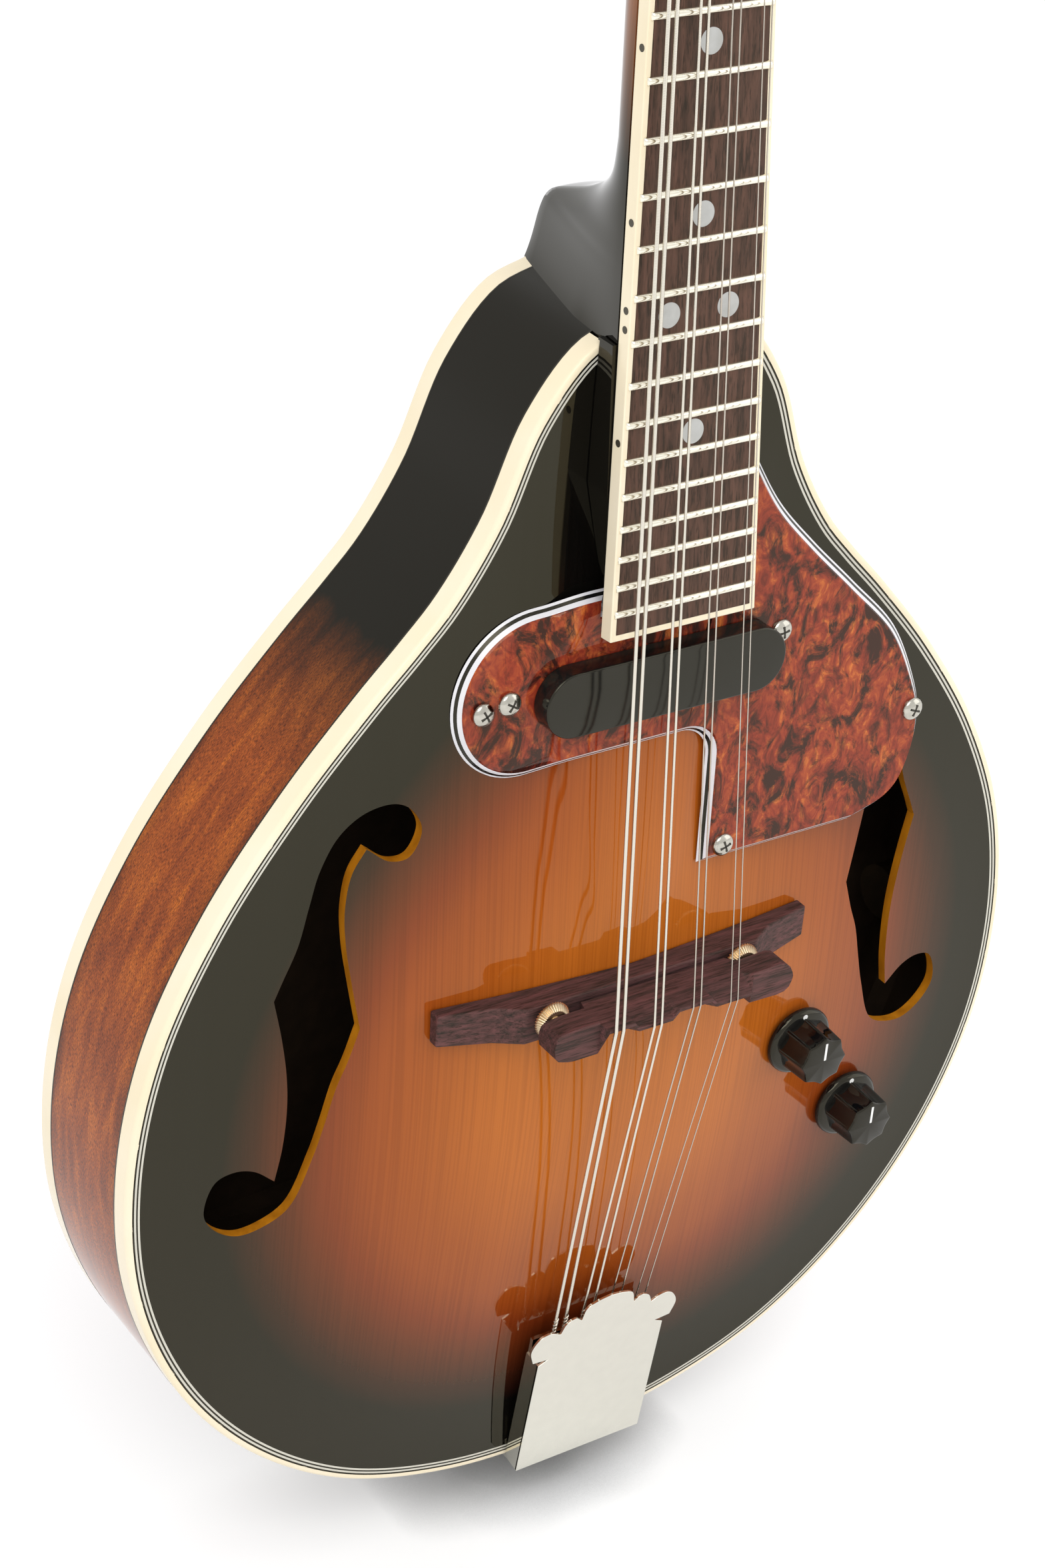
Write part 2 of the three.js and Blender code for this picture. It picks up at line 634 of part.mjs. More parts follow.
add(lying, "soundboard", cut(plate(plateEdge, topAt, topUnder), fHole(1), fHole(-1), ...knobBores),
  materials.sunburst);
add(lying, "back_plate", plate(plateEdge, backOver, backAt), materials.rimWood);

// Rim, bindings and blocks

const ledge = BINDING_WIDTH + SEAM;
const underPlate = -PLATE_THICKNESS - SEAM;
const rimUpperHalf = [
  [0, -BINDING_HEIGHT - SEAM], [ledge, -BINDING_HEIGHT - SEAM], [ledge, underPlate],
  [LINING_WIDTH, underPlate], [LINING_WIDTH, underPlate - LINING_HEIGHT],
  [RIM_THICKNESS, underPlate - LINING_HEIGHT - LINING_TAPER],
];
const rimLowerHalf = rimUpperHalf.map(([inward, z]) => [inward, -RIM_DEPTH - z]).reverse();

const jackX = BODY_HALF_WIDTH;
// A round bar along X at the jack, from one X to another.
function jackBar(radius, lowX, highX) {
  const geometry = new THREE.CylinderGeometry(radius, radius, highX - lowX, ROUND_SIDES).rotateZ(Math.PI / 2);
  return geometry.translate((lowX + highX) / 2, boutCentreY, -RIM_DEPTH / 2);
}

// The neck's tenon, or the mortise for it with a margin.
function tenon(margin) {
  const half = TENON_WIDTH / 2 + margin;
  const low = -RIM_DEPTH + TENON_BOTTOM_INSET - margin;
  return block(-half, half, neckEndY - TENON_LENGTH - margin, neckEndY + LINING_WIDTH,
    low, margin - TENON_TOP_INSET);
}

const jackHole = jackBar(JACK_BUSHING_RADIUS + SEAM, jackX - OVERRUN, jackX + OVERRUN);
const bentRim = band(outline, [...rimUpperHalf, ...rimLowerHalf], true);
add(lying, "rim", cut(bentRim, jackHole, tenon(SEAM)), materials.rimWood);

function bindingSection(edgeZ, sign) {
  return [
    [0, edgeZ - sign * BINDING_HEIGHT], [0, edgeZ - sign * BINDING_ROUNDING],
    [BINDING_ROUNDING / 3, edgeZ - sign * BINDING_ROUNDING / 3], [BINDING_ROUNDING, edgeZ],
    [BINDING_WIDTH, edgeZ], [BINDING_WIDTH, edgeZ - sign * BINDING_HEIGHT],
  ];
}

const topBindingPath = openOutline(HEEL_TOP_HALF_WIDTH + SEAM);
const backBindingPath = openOutline(HEEL_CAP_HALF_WIDTH + 2 * SEAM);
add(lying, "top_binding", band(topBindingPath, bindingSection(0, 1), false), materials.cream);
add(lying, "back_binding", band(backBindingPath, bindingSection(-RIM_DEPTH, -1), false),
  materials.cream);

const insideRim = offsetPath(outline, LINING_WIDTH + SEAM);
const inside = prism(insideRim, -RIM_DEPTH - underPlate, underPlate);

// A block inside the rim, as wide as given, between two places along the body.
function endBlock(width, lowY, highY) {
  return overlap(inside, block(-width / 2, width / 2, lowY, highY, -RIM_DEPTH - OVERRUN, OVERRUN));
}
const neckBlock = endBlock(NECK_BLOCK_WIDTH, neckEndY - BLOCK_DEPTH, neckEndY + OVERRUN);
const tailBlock = endBlock(TAIL_BLOCK_WIDTH, -tailToSaddle - OVERRUN, -tailToSaddle + BLOCK_DEPTH);
add(lying, "neck_block", cut(neckBlock, tenon(SEAM)), materials.innerWood);
add(lying, "tail_block", tailBlock, materials.innerWood);

// A brace on a curved plate: sections from end to end that follow the plate's inner face. `point`
// turns a distance along it and one across it into a place on the plate.
function brace(halfLength, height, point, surface, sign) {
  const rings = Array.from({ length: BRACE_STEPS + 1 }, (_, i) => {
    const along = lerp(-1, 1, i / BRACE_STEPS);
    const tall = height * (1 - Math.pow(along, BRACE_TAPER_POWER) * BRACE_TAPER_share);
    const corners = [[-BAR_WIDTH / 2, 0], [BAR_WIDTH / 2, 0], [BAR_WIDTH / 2, tall], [-BAR_WIDTH / 2, tall]];
    return corners.map(([across, depth]) => {
      const [x, y] = point(along * halfLength, across);
      return new THREE.Vector3(x, y, surface(x, y) + sign * (BAR_SEAT + depth));
    });
  });
  return loft(rings);
}

[["bass", -1], ["treble", 1]].forEach(([name, side]) => {
  const point = (along, across) => (
    [side * TONE_BAR_SPACING / 2 + across, alongBody(TONE_BAR_MIDDLE_share) + along]);
  const half = TONE_BAR_LENGTH_share * BODY_LENGTH / 2;
  add(lying, `tone_bar_${name}`, brace(half, BAR_HEIGHT, point, topUnder, -1), materials.innerWood);
});
[["upper", BACK_BRACE_UPPER_share], ["lower", BACK_BRACE_LOWER_share]].forEach(([name, share]) => {
  const place = alongBody(share);
  const near = insideRim.filter((p) => p.x > 0 && Math.abs(p.y - place) < BLOCK_DEPTH);
  const half = Math.min(...near.map((p) => p.x)) - BAR_WIDTH;
  const point = (along, across) => [along, place + across];
  add(lying, `back_brace_${name}`, brace(half, BACK_BRACE_HEIGHT, point, backOver, 1), materials.innerWood);
});

// Neck and headstock

const headFrame = new THREE.Group();
headFrame.position.set(0, headStart, -HEAD_DROP);
headFrame.rotation.x = -HEAD_PITCH;
neckFrame.add(headFrame);
headFrame.updateMatrix();
const headToLying = new THREE.Matrix4().multiplyMatrices(neckFrame.matrix, headFrame.matrix);

// Section of the neck at a place along it: from the corner under the fingerboard round its back.
// It is a half ellipse where squareness is 0, and narrows to the heel's flat cap where it is 1.
function neckRing(y, depthShare, capShare, squareness) {
  const top = neckTopZ(y);
  const half = Math.min(boardHalf(y), HEEL_TOP_HALF_WIDTH);
  const bottom = lerp(top - NECK_DEPTH, -RIM_DEPTH, depthShare);
  const cap = Math.min(half, HEEL_CAP_HALF_WIDTH * capShare);
  const side = Array.from({ length: NECK_SECTION_STEPS }, (_, i) => {
    const t = i / NECK_SECTION_STEPS;
    const round = [half * Math.cos(t * Math.PI / 2), Math.sin(t * Math.PI / 2)];
    const down = Math.min(1, t / HEEL_SIDE_share);
    const over = Math.max(0, t - HEEL_SIDE_share) / (1 - HEEL_SIDE_share);
    const onSide = lerp(half, cap, Math.pow(down, HEEL_SIDE_POWER));
    const square = [over > 0 ? cap * lerp(1, HEEL_MIDDLE_share, over) : onSide, down];
    const depth = lerp(round[1], square[1], squareness);
    return [lerp(round[0], square[0], squareness), lerp(top, bottom, depth)];
  });
  const points = [...side, [0, bottom], ...side.map(([x, z]) => [-x, z]).reverse()];
  return points.map(([x, z]) => new THREE.Vector3(x, y, z));
}

const heelRings = HEEL_shares.map(([along, depth, cap, square]) => (
  neckRing(lerp(neckEndY - HEEL_SEAT, neckEndY + HEEL_REACH, along), depth, cap, square)));
const neckShaft = loft([...heelRings, neckRing(headStart * Math.cos(NECK_PITCH), 0, 1, 0)]);

const tunerPlaces = [-1, 1].flatMap((side) => Array.from({ length: TUNER_COUNT }, (_, i) => (
  { side, x: side * POST_OFFSET, y: TUNER_FIRST + i * TUNER_SPACING })));
const postBores = tunerPlaces.map(({ x, y }) => (
  post(POST_RADIUS + POST_BORE_CLEARANCE, x, y, -HEAD_THICKNESS - OVERRUN, OVERRUN, POST_SIDES)));
const headSide = HEAD_shares.map(([x, y]) => [x * HEAD_HALF_WIDTH, y * HEAD_LENGTH]);
const headOutline = mirrored([...headSide].reverse()).map(vector).reverse();
const headstock = cut(prism(headOutline, -HEAD_THICKNESS, 0), ...postBores).applyMatrix4(headToLying);

// What the neck leaves free: the fingerboard and nut, the body, and the truss rod.
const overNeck = block(-OVERRUN, OVERRUN, boardEnd, headStart + 2 * SEAM, boardBottom - SEAM, OVERRUN);
overNeck.applyMatrix4(neckFrame.matrix);
const bodyBlank = prism(offsetPath(outline, -SEAM), -RIM_DEPTH - OVERRUN, SEAM);
const overTop = block(-OVERRUN, OVERRUN, neckEndY - OVERRUN, neckEndY - 4 * SEAM, -SEAM, OVERRUN);
const rodStart = neckEndY + TRUSS_ROD_INSET;
const rodEnd = headStart + TRUSS_ROD_REACH;
const rodZ = boardBottom - SEAM - TRUSS_ROD_RADIUS - SEAM;
const channelHalf = TRUSS_ROD_RADIUS + SEAM;
const rodChannel = block(-channelHalf, channelHalf, rodStart - SEAM, rodEnd + SEAM,
  rodZ - channelHalf, rodZ + TRUSS_CHANNEL_DEPTH).applyMatrix4(neckFrame.matrix);
const neckBlank = cut(join(neckShaft, headstock), overNeck, bodyBlank, overTop, rodChannel);
add(lying, "neck", join(neckBlank, tenon(0)), materials.blackLacquer);

const rod = new THREE.CylinderGeometry(TRUSS_ROD_RADIUS, TRUSS_ROD_RADIUS, rodEnd - rodStart, POST_SIDES);
add(neckFrame, "truss_rod", rod.translate(0, (rodEnd + rodStart) / 2, rodZ), materials.steel);

const rodCoverPlan = ROD_COVER_shares.map(([x, y]) => vector([x * ROD_COVER_WIDTH, y * ROD_COVER_LENGTH]));
add(headFrame, "truss_rod_cover", prism(rodCoverPlan, SEAM, SEAM + ROD_COVER_THICKNESS),
  materials.blackPlastic);

// Fingerboard with its frets, its binding and the nut

// A profile in Y and Z drawn out along X, the same both ways from the middle.
function crossBar(points, half) {
  return loft([-half, half].map((x) => points.map(([y, z]) => new THREE.Vector3(x, y, z))));
}

function boardRing(y) {
  const half = woodHalf(y) - SEAM;
  const corners = [[-half, boardBottom], [half, boardBottom], [half, -FRET_HEIGHT], [-half, -FRET_HEIGHT]];
  return corners.map(([x, z]) => new THREE.Vector3(x, y, z));
}

const fretSection = [
  [-FRET_WIDTH / 2, -FRET_TANG], [FRET_WIDTH / 2, -FRET_TANG], [FRET_WIDTH / 2, FRET_SHOULDER],
  [FRET_CROWN_WIDTH / 2, FRET_HEIGHT], [-FRET_CROWN_WIDTH / 2, FRET_HEIGHT], [-FRET_WIDTH / 2, FRET_SHOULDER],
];
const frets = Array.from({ length: FRET_COUNT }, (_, i) => {
  const y = fretAt(i + 1);
  return crossBar(fretSection, woodHalf(y) - SEAM).translate(0, y, -FRET_HEIGHT);
});
const board = loft([boardRing(boardEnd + BOARD_BINDING + SEAM), boardRing(SCALE_LENGTH)]);
add(neckFrame, "fingerboard", join(board, ...frets), materials.rosewood);

const bindingPlan = [
  [-boardHalf(SCALE_LENGTH), SCALE_LENGTH], [-boardHalf(boardEnd), boardEnd],
  [boardHalf(boardEnd), boardEnd], [boardHalf(SCALE_LENGTH), SCALE_LENGTH],
  [woodHalf(SCALE_LENGTH), SCALE_LENGTH], [woodHalf(boardEnd), boardEnd + BOARD_BINDING],
  [-woodHalf(boardEnd), boardEnd + BOARD_BINDING], [-woodHalf(SCALE_LENGTH), SCALE_LENGTH],
].map(vector);
add(neckFrame, "fingerboard_binding", prism(bindingPlan, boardBottom, -FRET_HEIGHT), materials.cream);

const nutSection = [
  [0, boardBottom], [NUT_WIDTH, boardBottom], [NUT_WIDTH, NUT_TOP - NUT_BACK_DROP],
  [NUT_RIDGE, NUT_TOP], [0, NUT_TOP],
];
add(neckFrame, "nut", crossBar(nutSection, boardHalf(SCALE_LENGTH)).translate(0, nutY, 0), materials.bone);

// Support between the top and the end of the fingerboard

const supportRear = neckEndY - SUPPORT_REAR_GAP;
const supportTip = boardEnd + SUPPORT_TIP_INSET;
const supportShoulder = lerp(supportTip, supportRear, SUPPORT_SHOULDER_share);
const supportPlan = [
  [-SUPPORT_HALF_WIDTH, supportRear], [-SUPPORT_HALF_WIDTH, supportShoulder],
  [-SUPPORT_TIP_HALF_WIDTH, supportTip], [SUPPORT_TIP_HALF_WIDTH, supportTip],
  [SUPPORT_HALF_WIDTH, supportShoulder], [SUPPORT_HALF_WIDTH, supportRear],
].map(vector);
add(lying, "fingerboard_support", cut(prism(supportPlan, -SEAM, OVERRUN), overNeck, underTop),
  materials.blackLacquer);

// Tuners: each post's wheel is driven by a worm on the button's shaft

const plateBack = -HEAD_THICKNESS - SEAM - PLATE_METAL;
const wheelZ = plateBack - WHEEL_STAND_OFF;
const wheelPitchRadius = WORM_PITCH * WHEEL_TEETH / (2 * Math.PI);
const wormOffset = wheelPitchRadius + WORM_PITCH_RADIUS + MESH_CLEARANCE;
const buttonStart = HEAD_HALF_WIDTH + BUTTON_GAP;

// A rod along X through the middle of a tuner's worm.
function wormRod(radius, length, sides) {
  return new THREE.CylinderGeometry(radius, radius, length, sides).rotateZ(Math.PI / 2);
}

function tunerPlate(side) {
  const places = tunerPlaces.filter((place) => place.side === side);
  const lowY = places[0].y - TUNER_PLATE_MARGIN;
  const highY = places.at(-1).y + TUNER_PLATE_MARGIN + wormOffset / 2;
  const lowX = side * POST_OFFSET - TUNER_PLATE_WIDTH / 2;
  const sheet = block(lowX, lowX + TUNER_PLATE_WIDTH, lowY, highY, plateBack, plateBack + PLATE_METAL);
  const lugs = places.flatMap(({ x, y }) => [-LUG_OFFSET, LUG_OFFSET].map((reach) => {
    const near = new THREE.Vector2(x + reach - LUG_THICKNESS / 2, y + wormOffset - LUG_WIDTH / 2);
    return block(near.x, near.x + LUG_THICKNESS, near.y, near.y + LUG_WIDTH,
      plateBack - LUG_HEIGHT, plateBack + PLATE_METAL / 2);
  }));
  const postHoles = places.map(({ x, y }) => (
    post(POST_RADIUS + POST_BORE_CLEARANCE, x, y, plateBack - OVERRUN, OVERRUN, POST_SIDES)));
  const shaftHoles = places.map(({ x, y }) => (
    wormRod(WORM_SHAFT_RADIUS + SHAFT_CLEARANCE, OVERRUN, POST_SIDES).translate(x, y + wormOffset, wheelZ)));
  return cut(join(sheet, ...lugs), ...postHoles, ...shaftHoles);
}

// A single-start worm: the section is a circle whose raised part turns once per pitch along the axis.
function worm() {
  const steps = WORM_TURNS * WORM_STEPS_PER_TURN;
  const half = WORM_TURNS * WORM_PITCH / 2;
  const rings = Array.from({ length: steps + 1 }, (_, i) => {
    const x = lerp(-half, half, i / steps);
    return Array.from({ length: WORM_SIDES }, (_, j) => {
      const turn = j / WORM_SIDES;
      const phase = turn - x / WORM_PITCH + 1 / 2;
      const toCrest = Math.abs(phase - Math.round(phase)) * 2;
      const raised = THREE.MathUtils.clamp((WORM_THREAD_share - toCrest) / WORM_FLANK_share, 0, 1);
      const radius = WORM_PITCH_RADIUS - WORM_ROOT + raised * (WORM_ROOT + WORM_CREST);
      const angle = 2 * Math.PI * turn;
      return new THREE.Vector3(x, -radius * Math.cos(angle), -radius * Math.sin(angle));
    });
  });
  return loft(rings);
}

function buttonShaft(side) {
  const inner = -LUG_OFFSET - 2 * LUG_THICKNESS;
  const outer = buttonStart - POST_OFFSET + BUTTON_COLLAR;
  const shaft = wormRod(WORM_SHAFT_RADIUS, outer - inner, WORM_SIDES).translate((inner + outer) / 2, 0, 0);
  const button = new THREE.SphereGeometry(1, POST_SIDES, POST_SIDES / 2)
    .scale(BUTTON_LENGTH / 2, BUTTON_WIDTH / 2, BUTTON_THICKNESS / 2)
    .translate(outer + BUTTON_LENGTH / 2 - BUTTON_COLLAR / 2, 0, 0);
  const driver = join(shaft, button);
  if (side < 0) driver.rotateZ(Math.PI);
  return join(driver, worm());
}

// Each tooth has four corners: root, tip, tip and root. A tooth points at the worm.
function wheelPlan() {
  const toothTurn = 2 * Math.PI / WHEEL_TEETH;
  const corners = [
    [-3 / 8, -WHEEL_ROOT, WHEEL_ROOT_share], [-1 / 8, WHEEL_CREST, WHEEL_TIP_share],
    [1 / 8, WHEEL_CREST, WHEEL_TIP_share], [3 / 8, -WHEEL_ROOT, WHEEL_ROOT_share],
  ];
  return Array.from({ length: WHEEL_TEETH }, (_, tooth) => corners.map(([turns, rise, spread]) => {
    const wide = rise > 0 ? turns * spread : turns + Math.sign(turns) * (spread - 1) / 8;
    const angle = Math.PI / 2 + (tooth + wide) * toothTurn;
    const radius = wheelPitchRadius + rise;
    return new THREE.Vector2(radius * Math.cos(angle), radius * Math.sin(angle));
  })).flat();
}

function postAndWheel() {
  const lowZ = wheelZ - WHEEL_THICKNESS / 2;
  const wheel = prism(wheelPlan(), lowZ, lowZ + WHEEL_THICKNESS);
  return join(post(POST_RADIUS, 0, 0, lowZ, POST_HEIGHT, POST_SIDES), wheel);
}

add(headFrame, "tuner_plate_bass", tunerPlate(-1), materials.nickel);
add(headFrame, "tuner_plate_treble", tunerPlate(1), materials.nickel);
tunerPlaces.forEach(({ side, x, y }, i) => {
  const driver = add(headFrame, `tuner_button_${i + 1}`, buttonShaft(side), materials.bone);
  driver.position.set(x, y + wormOffset, wheelZ);
  const shaft = add(headFrame, `string_post_${i + 1}`, postAndWheel(), materials.nickel);
  shaft.position.set(x, y, 0);
});

// Bridge: a fixed base with two studs, thumbwheels on them, and the saddle on the wheels

const wheelBottom = BASE_TOP + SADDLE_TRAVEL + SEAM;
const saddleBottom = wheelBottom + THUMBWHEEL_THICKNESS + SEAM;
const saddleTop = saddleBottom + SADDLE_BODY_HEIGHT + SADDLE_CREST_HEIGHT;
const studTop = saddleBottom + SADDLE_BODY_HEIGHT / 2;
const studPost = (radius, x, low, high) => post(radius, x, SADDLE_CENTRE_Y, low, high, POST_SIDES);

const baseUpper = [
  [0, BASE_TOP], [BASE_SHOULDER_X, BASE_TOP], [BASE_WING_X, BASE_WING_TOP], [BASE_HALF_LENGTH, BASE_END_TOP],
  [BASE_HALF_LENGTH, 0],
];
const baseNear = BASE_CENTRE_Y - BASE_WIDTH / 2;
const baseBlank = profileBar(mirrored(baseUpper), baseNear, baseNear + BASE_WIDTH);
const studs = [-STUD_X, STUD_X].map((x) => studPost(STUD_RADIUS, x, BASE_TOP - STUD_SEAT, studTop));
add(lying, "bridge_base", join(cut(baseBlank, underTop), ...studs), materials.rosewood);

const courseX = (course, spread) => lerp(-spread / 2, spread / 2, course / (STRING_RADII.length - 1));
const ridgeY = (course) => SADDLE_CENTRE_Y + (course % 2 === 0 ? COMPENSATION : -COMPENSATION);

// The crest under one course, set back or forward to tune it.
function crest(course) {
  const foot = saddleBottom + SADDLE_BODY_HEIGHT / 2;
  const section = [
    [-SADDLE_CREST_WIDTH / 2, foot], [SADDLE_CREST_WIDTH / 2, foot],
    [SADDLE_RIDGE_WIDTH / 2, saddleTop], [-SADDLE_RIDGE_WIDTH / 2, saddleTop],
  ];
  const x = courseX(course, COURSE_SPREAD_SADDLE);
  return crossBar(section, SADDLE_CREST_HALF_LENGTH).translate(x, ridgeY(course), 0);
}

// The saddle's body is its plan and its profile at once.
const saddleSize = (shares, size) => shares.map(([x, other]) => [x * SADDLE_HALF_LENGTH, other * size]);
const saddlePlanHalf = saddleSize(SADDLE_PLAN_shares, SADDLE_WIDTH / 2);
const saddlePlan = [
  ...mirrored(saddlePlanHalf), ...mirrored(saddlePlanHalf).map(([x, y]) => [x, -y]).reverse(),
].map(([x, y]) => vector([x, SADDLE_CENTRE_Y - y]));
const saddleUpper = mirrored(saddleSize(SADDLE_UPPER_shares, SADDLE_BODY_HEIGHT));
const saddleLower = mirrored(saddleSize([...SADDLE_LOWER_shares].reverse(), SADDLE_BODY_HEIGHT));
const saddleProfile = [...saddleUpper, ...saddleLower.reverse()].map(([x, z]) => [x, saddleBottom + z]);
const saddleBlank = profileBar(saddleProfile, SADDLE_CENTRE_Y - SADDLE_WIDTH, SADDLE_CENTRE_Y + SADDLE_WIDTH);
const saddleBody = overlap(saddleBlank, prism(saddlePlan, 0, saddleTop));
const studHoles = [-STUD_X, STUD_X].map((x) => (
  studPost(STUD_RADIUS + SHAFT_CLEARANCE, x, 0, studTop + SADDLE_TRAVEL + SEAM)));
const crests = STRING_RADII.map((_, course) => crest(course));
add(lying, "bridge_saddle", cut(join(saddleBody, ...crests), ...studHoles), materials.rosewood);

function thumbwheel() {
  const steps = THUMBWHEEL_TEETH * 2;
  const points = Array.from({ length: steps }, (_, i) => {
    const angle = i * 2 * Math.PI / steps;
    const radius = THUMBWHEEL_RADIUS - (i % 2) * THUMBWHEEL_KNURL;
    return new THREE.Vector2(radius * Math.cos(angle), radius * Math.sin(angle));
  });
  const bore = post(STUD_RADIUS + SHAFT_CLEARANCE, 0, 0, 0, saddleTop, POST_SIDES);
  return cut(prism(points, wheelBottom, wheelBottom + THUMBWHEEL_THICKNESS), bore);
}
add(lying, "thumbwheel_bass", thumbwheel(), materials.brass).position.set(-STUD_X, SADDLE_CENTRE_Y, 0);
add(lying, "thumbwheel_treble", thumbwheel(), materials.brass).position.set(STUD_X, SADDLE_CENTRE_Y, 0);

// Tailpiece: a frame that hooks the strings and hangs over the tail, and its scalloped cover

const tailFaceY = -tailToSaddle - SEAM;
const frameFrontY = FRAME_REACH - tailToSaddle;
const frameTailDrop = FRAME_TAIL_DROP_share * RIM_DEPTH;
const frameZ = (y) => FRAME_REAR_HEIGHT + FRAME_SLOPE * (y - tailFaceY);
const frameProfile = [
  [tailFaceY, -frameTailDrop], [tailFaceY, FRAME_REAR_HEIGHT], [frameFrontY, frameZ(frameFrontY)],
  [frameFrontY, frameZ(frameFrontY) + FRAME_METAL],
  [tailFaceY - FRAME_METAL, FRAME_REAR_HEIGHT + FRAME_METAL], [tailFaceY - FRAME_METAL, -frameTailDrop],
];
const frameEdges = [[-FRAME_WIDTH, -FRAME_TAIL_WIDTH / 2], [FRAME_TAIL_WIDTH / 2, FRAME_WIDTH]];
const frameTrims = frameEdges.map(([low, high]) => (
  block(low, high, tailFaceY - OVERRUN, tailFaceY + SEAM, -frameTailDrop - OVERRUN, -BINDING_HEIGHT)));
const pairs = STRING_RADII.flatMap((_, course) => [[course, -1], [course, 1]]);
const tailStringX = ([course, side]) => courseX(course, COURSE_SPREAD_TAIL) + side * PAIR_GAP_TAIL / 2;
const hookRear = frameFrontY - 2 * HOOK_LENGTH;
const hookBase = frameZ(frameFrontY - HOOK_LENGTH);
const hooks = pairs.map((pair) => {
  const x = tailStringX(pair);
  return block(x - HOOK_WIDTH / 2, x + HOOK_WIDTH / 2, hookRear, hookRear + HOOK_LENGTH,
    hookBase, hookBase + FRAME_METAL + HOOK_HEIGHT);
});
const tailFrame = join(cut(crossBar(frameProfile, FRAME_WIDTH / 2), ...frameTrims), ...hooks);
add(lying, "tailpiece_frame", tailFrame, materials.nickel).position.x = TAILPIECE_X;

const coverEdge = COVER_EDGE_shares.map(([x, y]) => [-x * COVER_HALF_WIDTH, y * COVER_FRONT]);
const coverFront = mirrored([...coverEdge].reverse()).map(vector);
const coverPlan = [...coverFront, vector([COVER_HALF_WIDTH, 0]), vector([-COVER_HALF_WIDTH, 0])];
const coverTop = prism([...coverPlan].reverse(), -COVER_METAL, 0);
const coverWalls = [-COVER_HALF_WIDTH, COVER_HALF_WIDTH - COVER_METAL].map((lowX) => (
  block(lowX, lowX + COVER_METAL, 0, COVER_EDGE_shares[0][1] * COVER_FRONT, -COVER_WALL, -COVER_METAL / 2)));
const cover = add(lying, "tailpiece_cover", join(coverTop, ...coverWalls), materials.nickel);
cover.position.set(TAILPIECE_X, -tailToSaddle - COVER_TAIL_OVERHANG, COVER_REAR_TOP);
cover.rotation.x = Math.atan(COVER_SLOPE);

const strapProfile = [
  [0, 0], [BUTTON_FLANGE_RADIUS, 0], [BUTTON_FLANGE_RADIUS, STRAP_BUTTON_FLANGE],
  [BUTTON_WAIST_RADIUS, STRAP_BUTTON_FLANGE * 2],
  [BUTTON_WAIST_RADIUS, STRAP_BUTTON_LENGTH - STRAP_BUTTON_FLANGE * 2],
  [BUTTON_TIP_RADIUS, STRAP_BUTTON_LENGTH - STRAP_BUTTON_FLANGE],
  [BUTTON_TIP_RADIUS, STRAP_BUTTON_LENGTH], [0, STRAP_BUTTON_LENGTH],
].map(vector);
const strapButton = new THREE.LatheGeometry(strapProfile, ROUND_SIDES).rotateX(Math.PI);
const strapButtonPlace = [0, tailFaceY - FRAME_METAL - SEAM, -RIM_DEPTH / 2];
add(lying, "strap_button", strapButton, materials.nickel).position.set(...strapButtonPlace);

// Pickguard and pickup, measured from the fingerboard's end

const guardTop = boardEnd + GUARD_TOP_Y;
const guardLobe = new THREE.Vector2(GUARD_LOBE_X, boardEnd + GUARD_LOBE_Y);
const guardCorner = new THREE.Vector2(GUARD_INNER_X - GUARD_CORNER_RADIUS,
  guardLobe.y - GUARD_LOBE_RADIUS - GUARD_CORNER_RADIUS);
const guardShoulder = Math.min(supportShoulder, guardTop);
const guardTip = supportTip - SUPPORT_GAP;
const guardEdge = new THREE.SplineCurve(GUARD_EDGE_shares.map(([x, y]) => (
  new THREE.Vector2(x * GUARD_WIDTH, boardEnd + lerp(GUARD_LOWER_Y, GUARD_TOP_Y, y)))));
const guardShape = new THREE.Shape();
guardShape.moveTo(GUARD_INNER_X, boardEnd + GUARD_LOWER_Y);
guardEdge.getPoints(GUARD_EDGE_STEPS).forEach((p) => guardShape.lineTo(p.x, p.y));
guardShape.lineTo(SUPPORT_HALF_WIDTH + SUPPORT_GAP, guardShoulder);
guardShape.lineTo(SUPPORT_TIP_HALF_WIDTH + SUPPORT_GAP, guardTip);
guardShape.lineTo(-SUPPORT_TIP_HALF_WIDTH - SUPPORT_GAP, guardTip);
guardShape.lineTo(-SUPPORT_TIP_HALF_WIDTH - SUPPORT_GAP, guardLobe.y + GUARD_LOBE_RADIUS);
guardShape.lineTo(guardLobe.x, guardLobe.y + GUARD_LOBE_RADIUS);
guardShape.absarc(guardLobe.x, guardLobe.y, GUARD_LOBE_RADIUS, Math.PI / 2, 3 * Math.PI / 2, false);
guardShape.lineTo(guardCorner.x, guardLobe.y - GUARD_LOBE_RADIUS);
guardShape.absarc(guardCorner.x, guardCorner.y, GUARD_CORNER_RADIUS, Math.PI / 2, 0, true);

// The guard's plane clears the arch all round its edge.
const guardSlope = Math.tan(GUARD_TILT);
const guardRises = guardShape.getPoints(GUARD_ARC_STEPS).map((p) => topAt(p.x, p.y) + guardSlope * p.y);
const guardFrame = new THREE.Group();
guardFrame.position.z = Math.max(...guardRises) + GUARD_CLEARANCE;
guardFrame.rotation.x = -GUARD_TILT;
lying.add(guardFrame);
console.log(`pickguard plane ${guardFrame.position.z.toFixed(3)} mm over the saddle line`);

// A flat shape with round ends or corners, raised from a height.
function raised(shape, low, height, curveSegments) {
  const geometry = new THREE.ExtrudeGeometry(shape, { depth: height, bevelEnabled: false, curveSegments });
  return fromSolid(toSolid(geometry.translate(0, 0, low)));
}
add(guardFrame, "pickguard", raised(guardShape, 0, GUARD_THICKNESS, GUARD_ARC_STEPS), materials.tortoise);

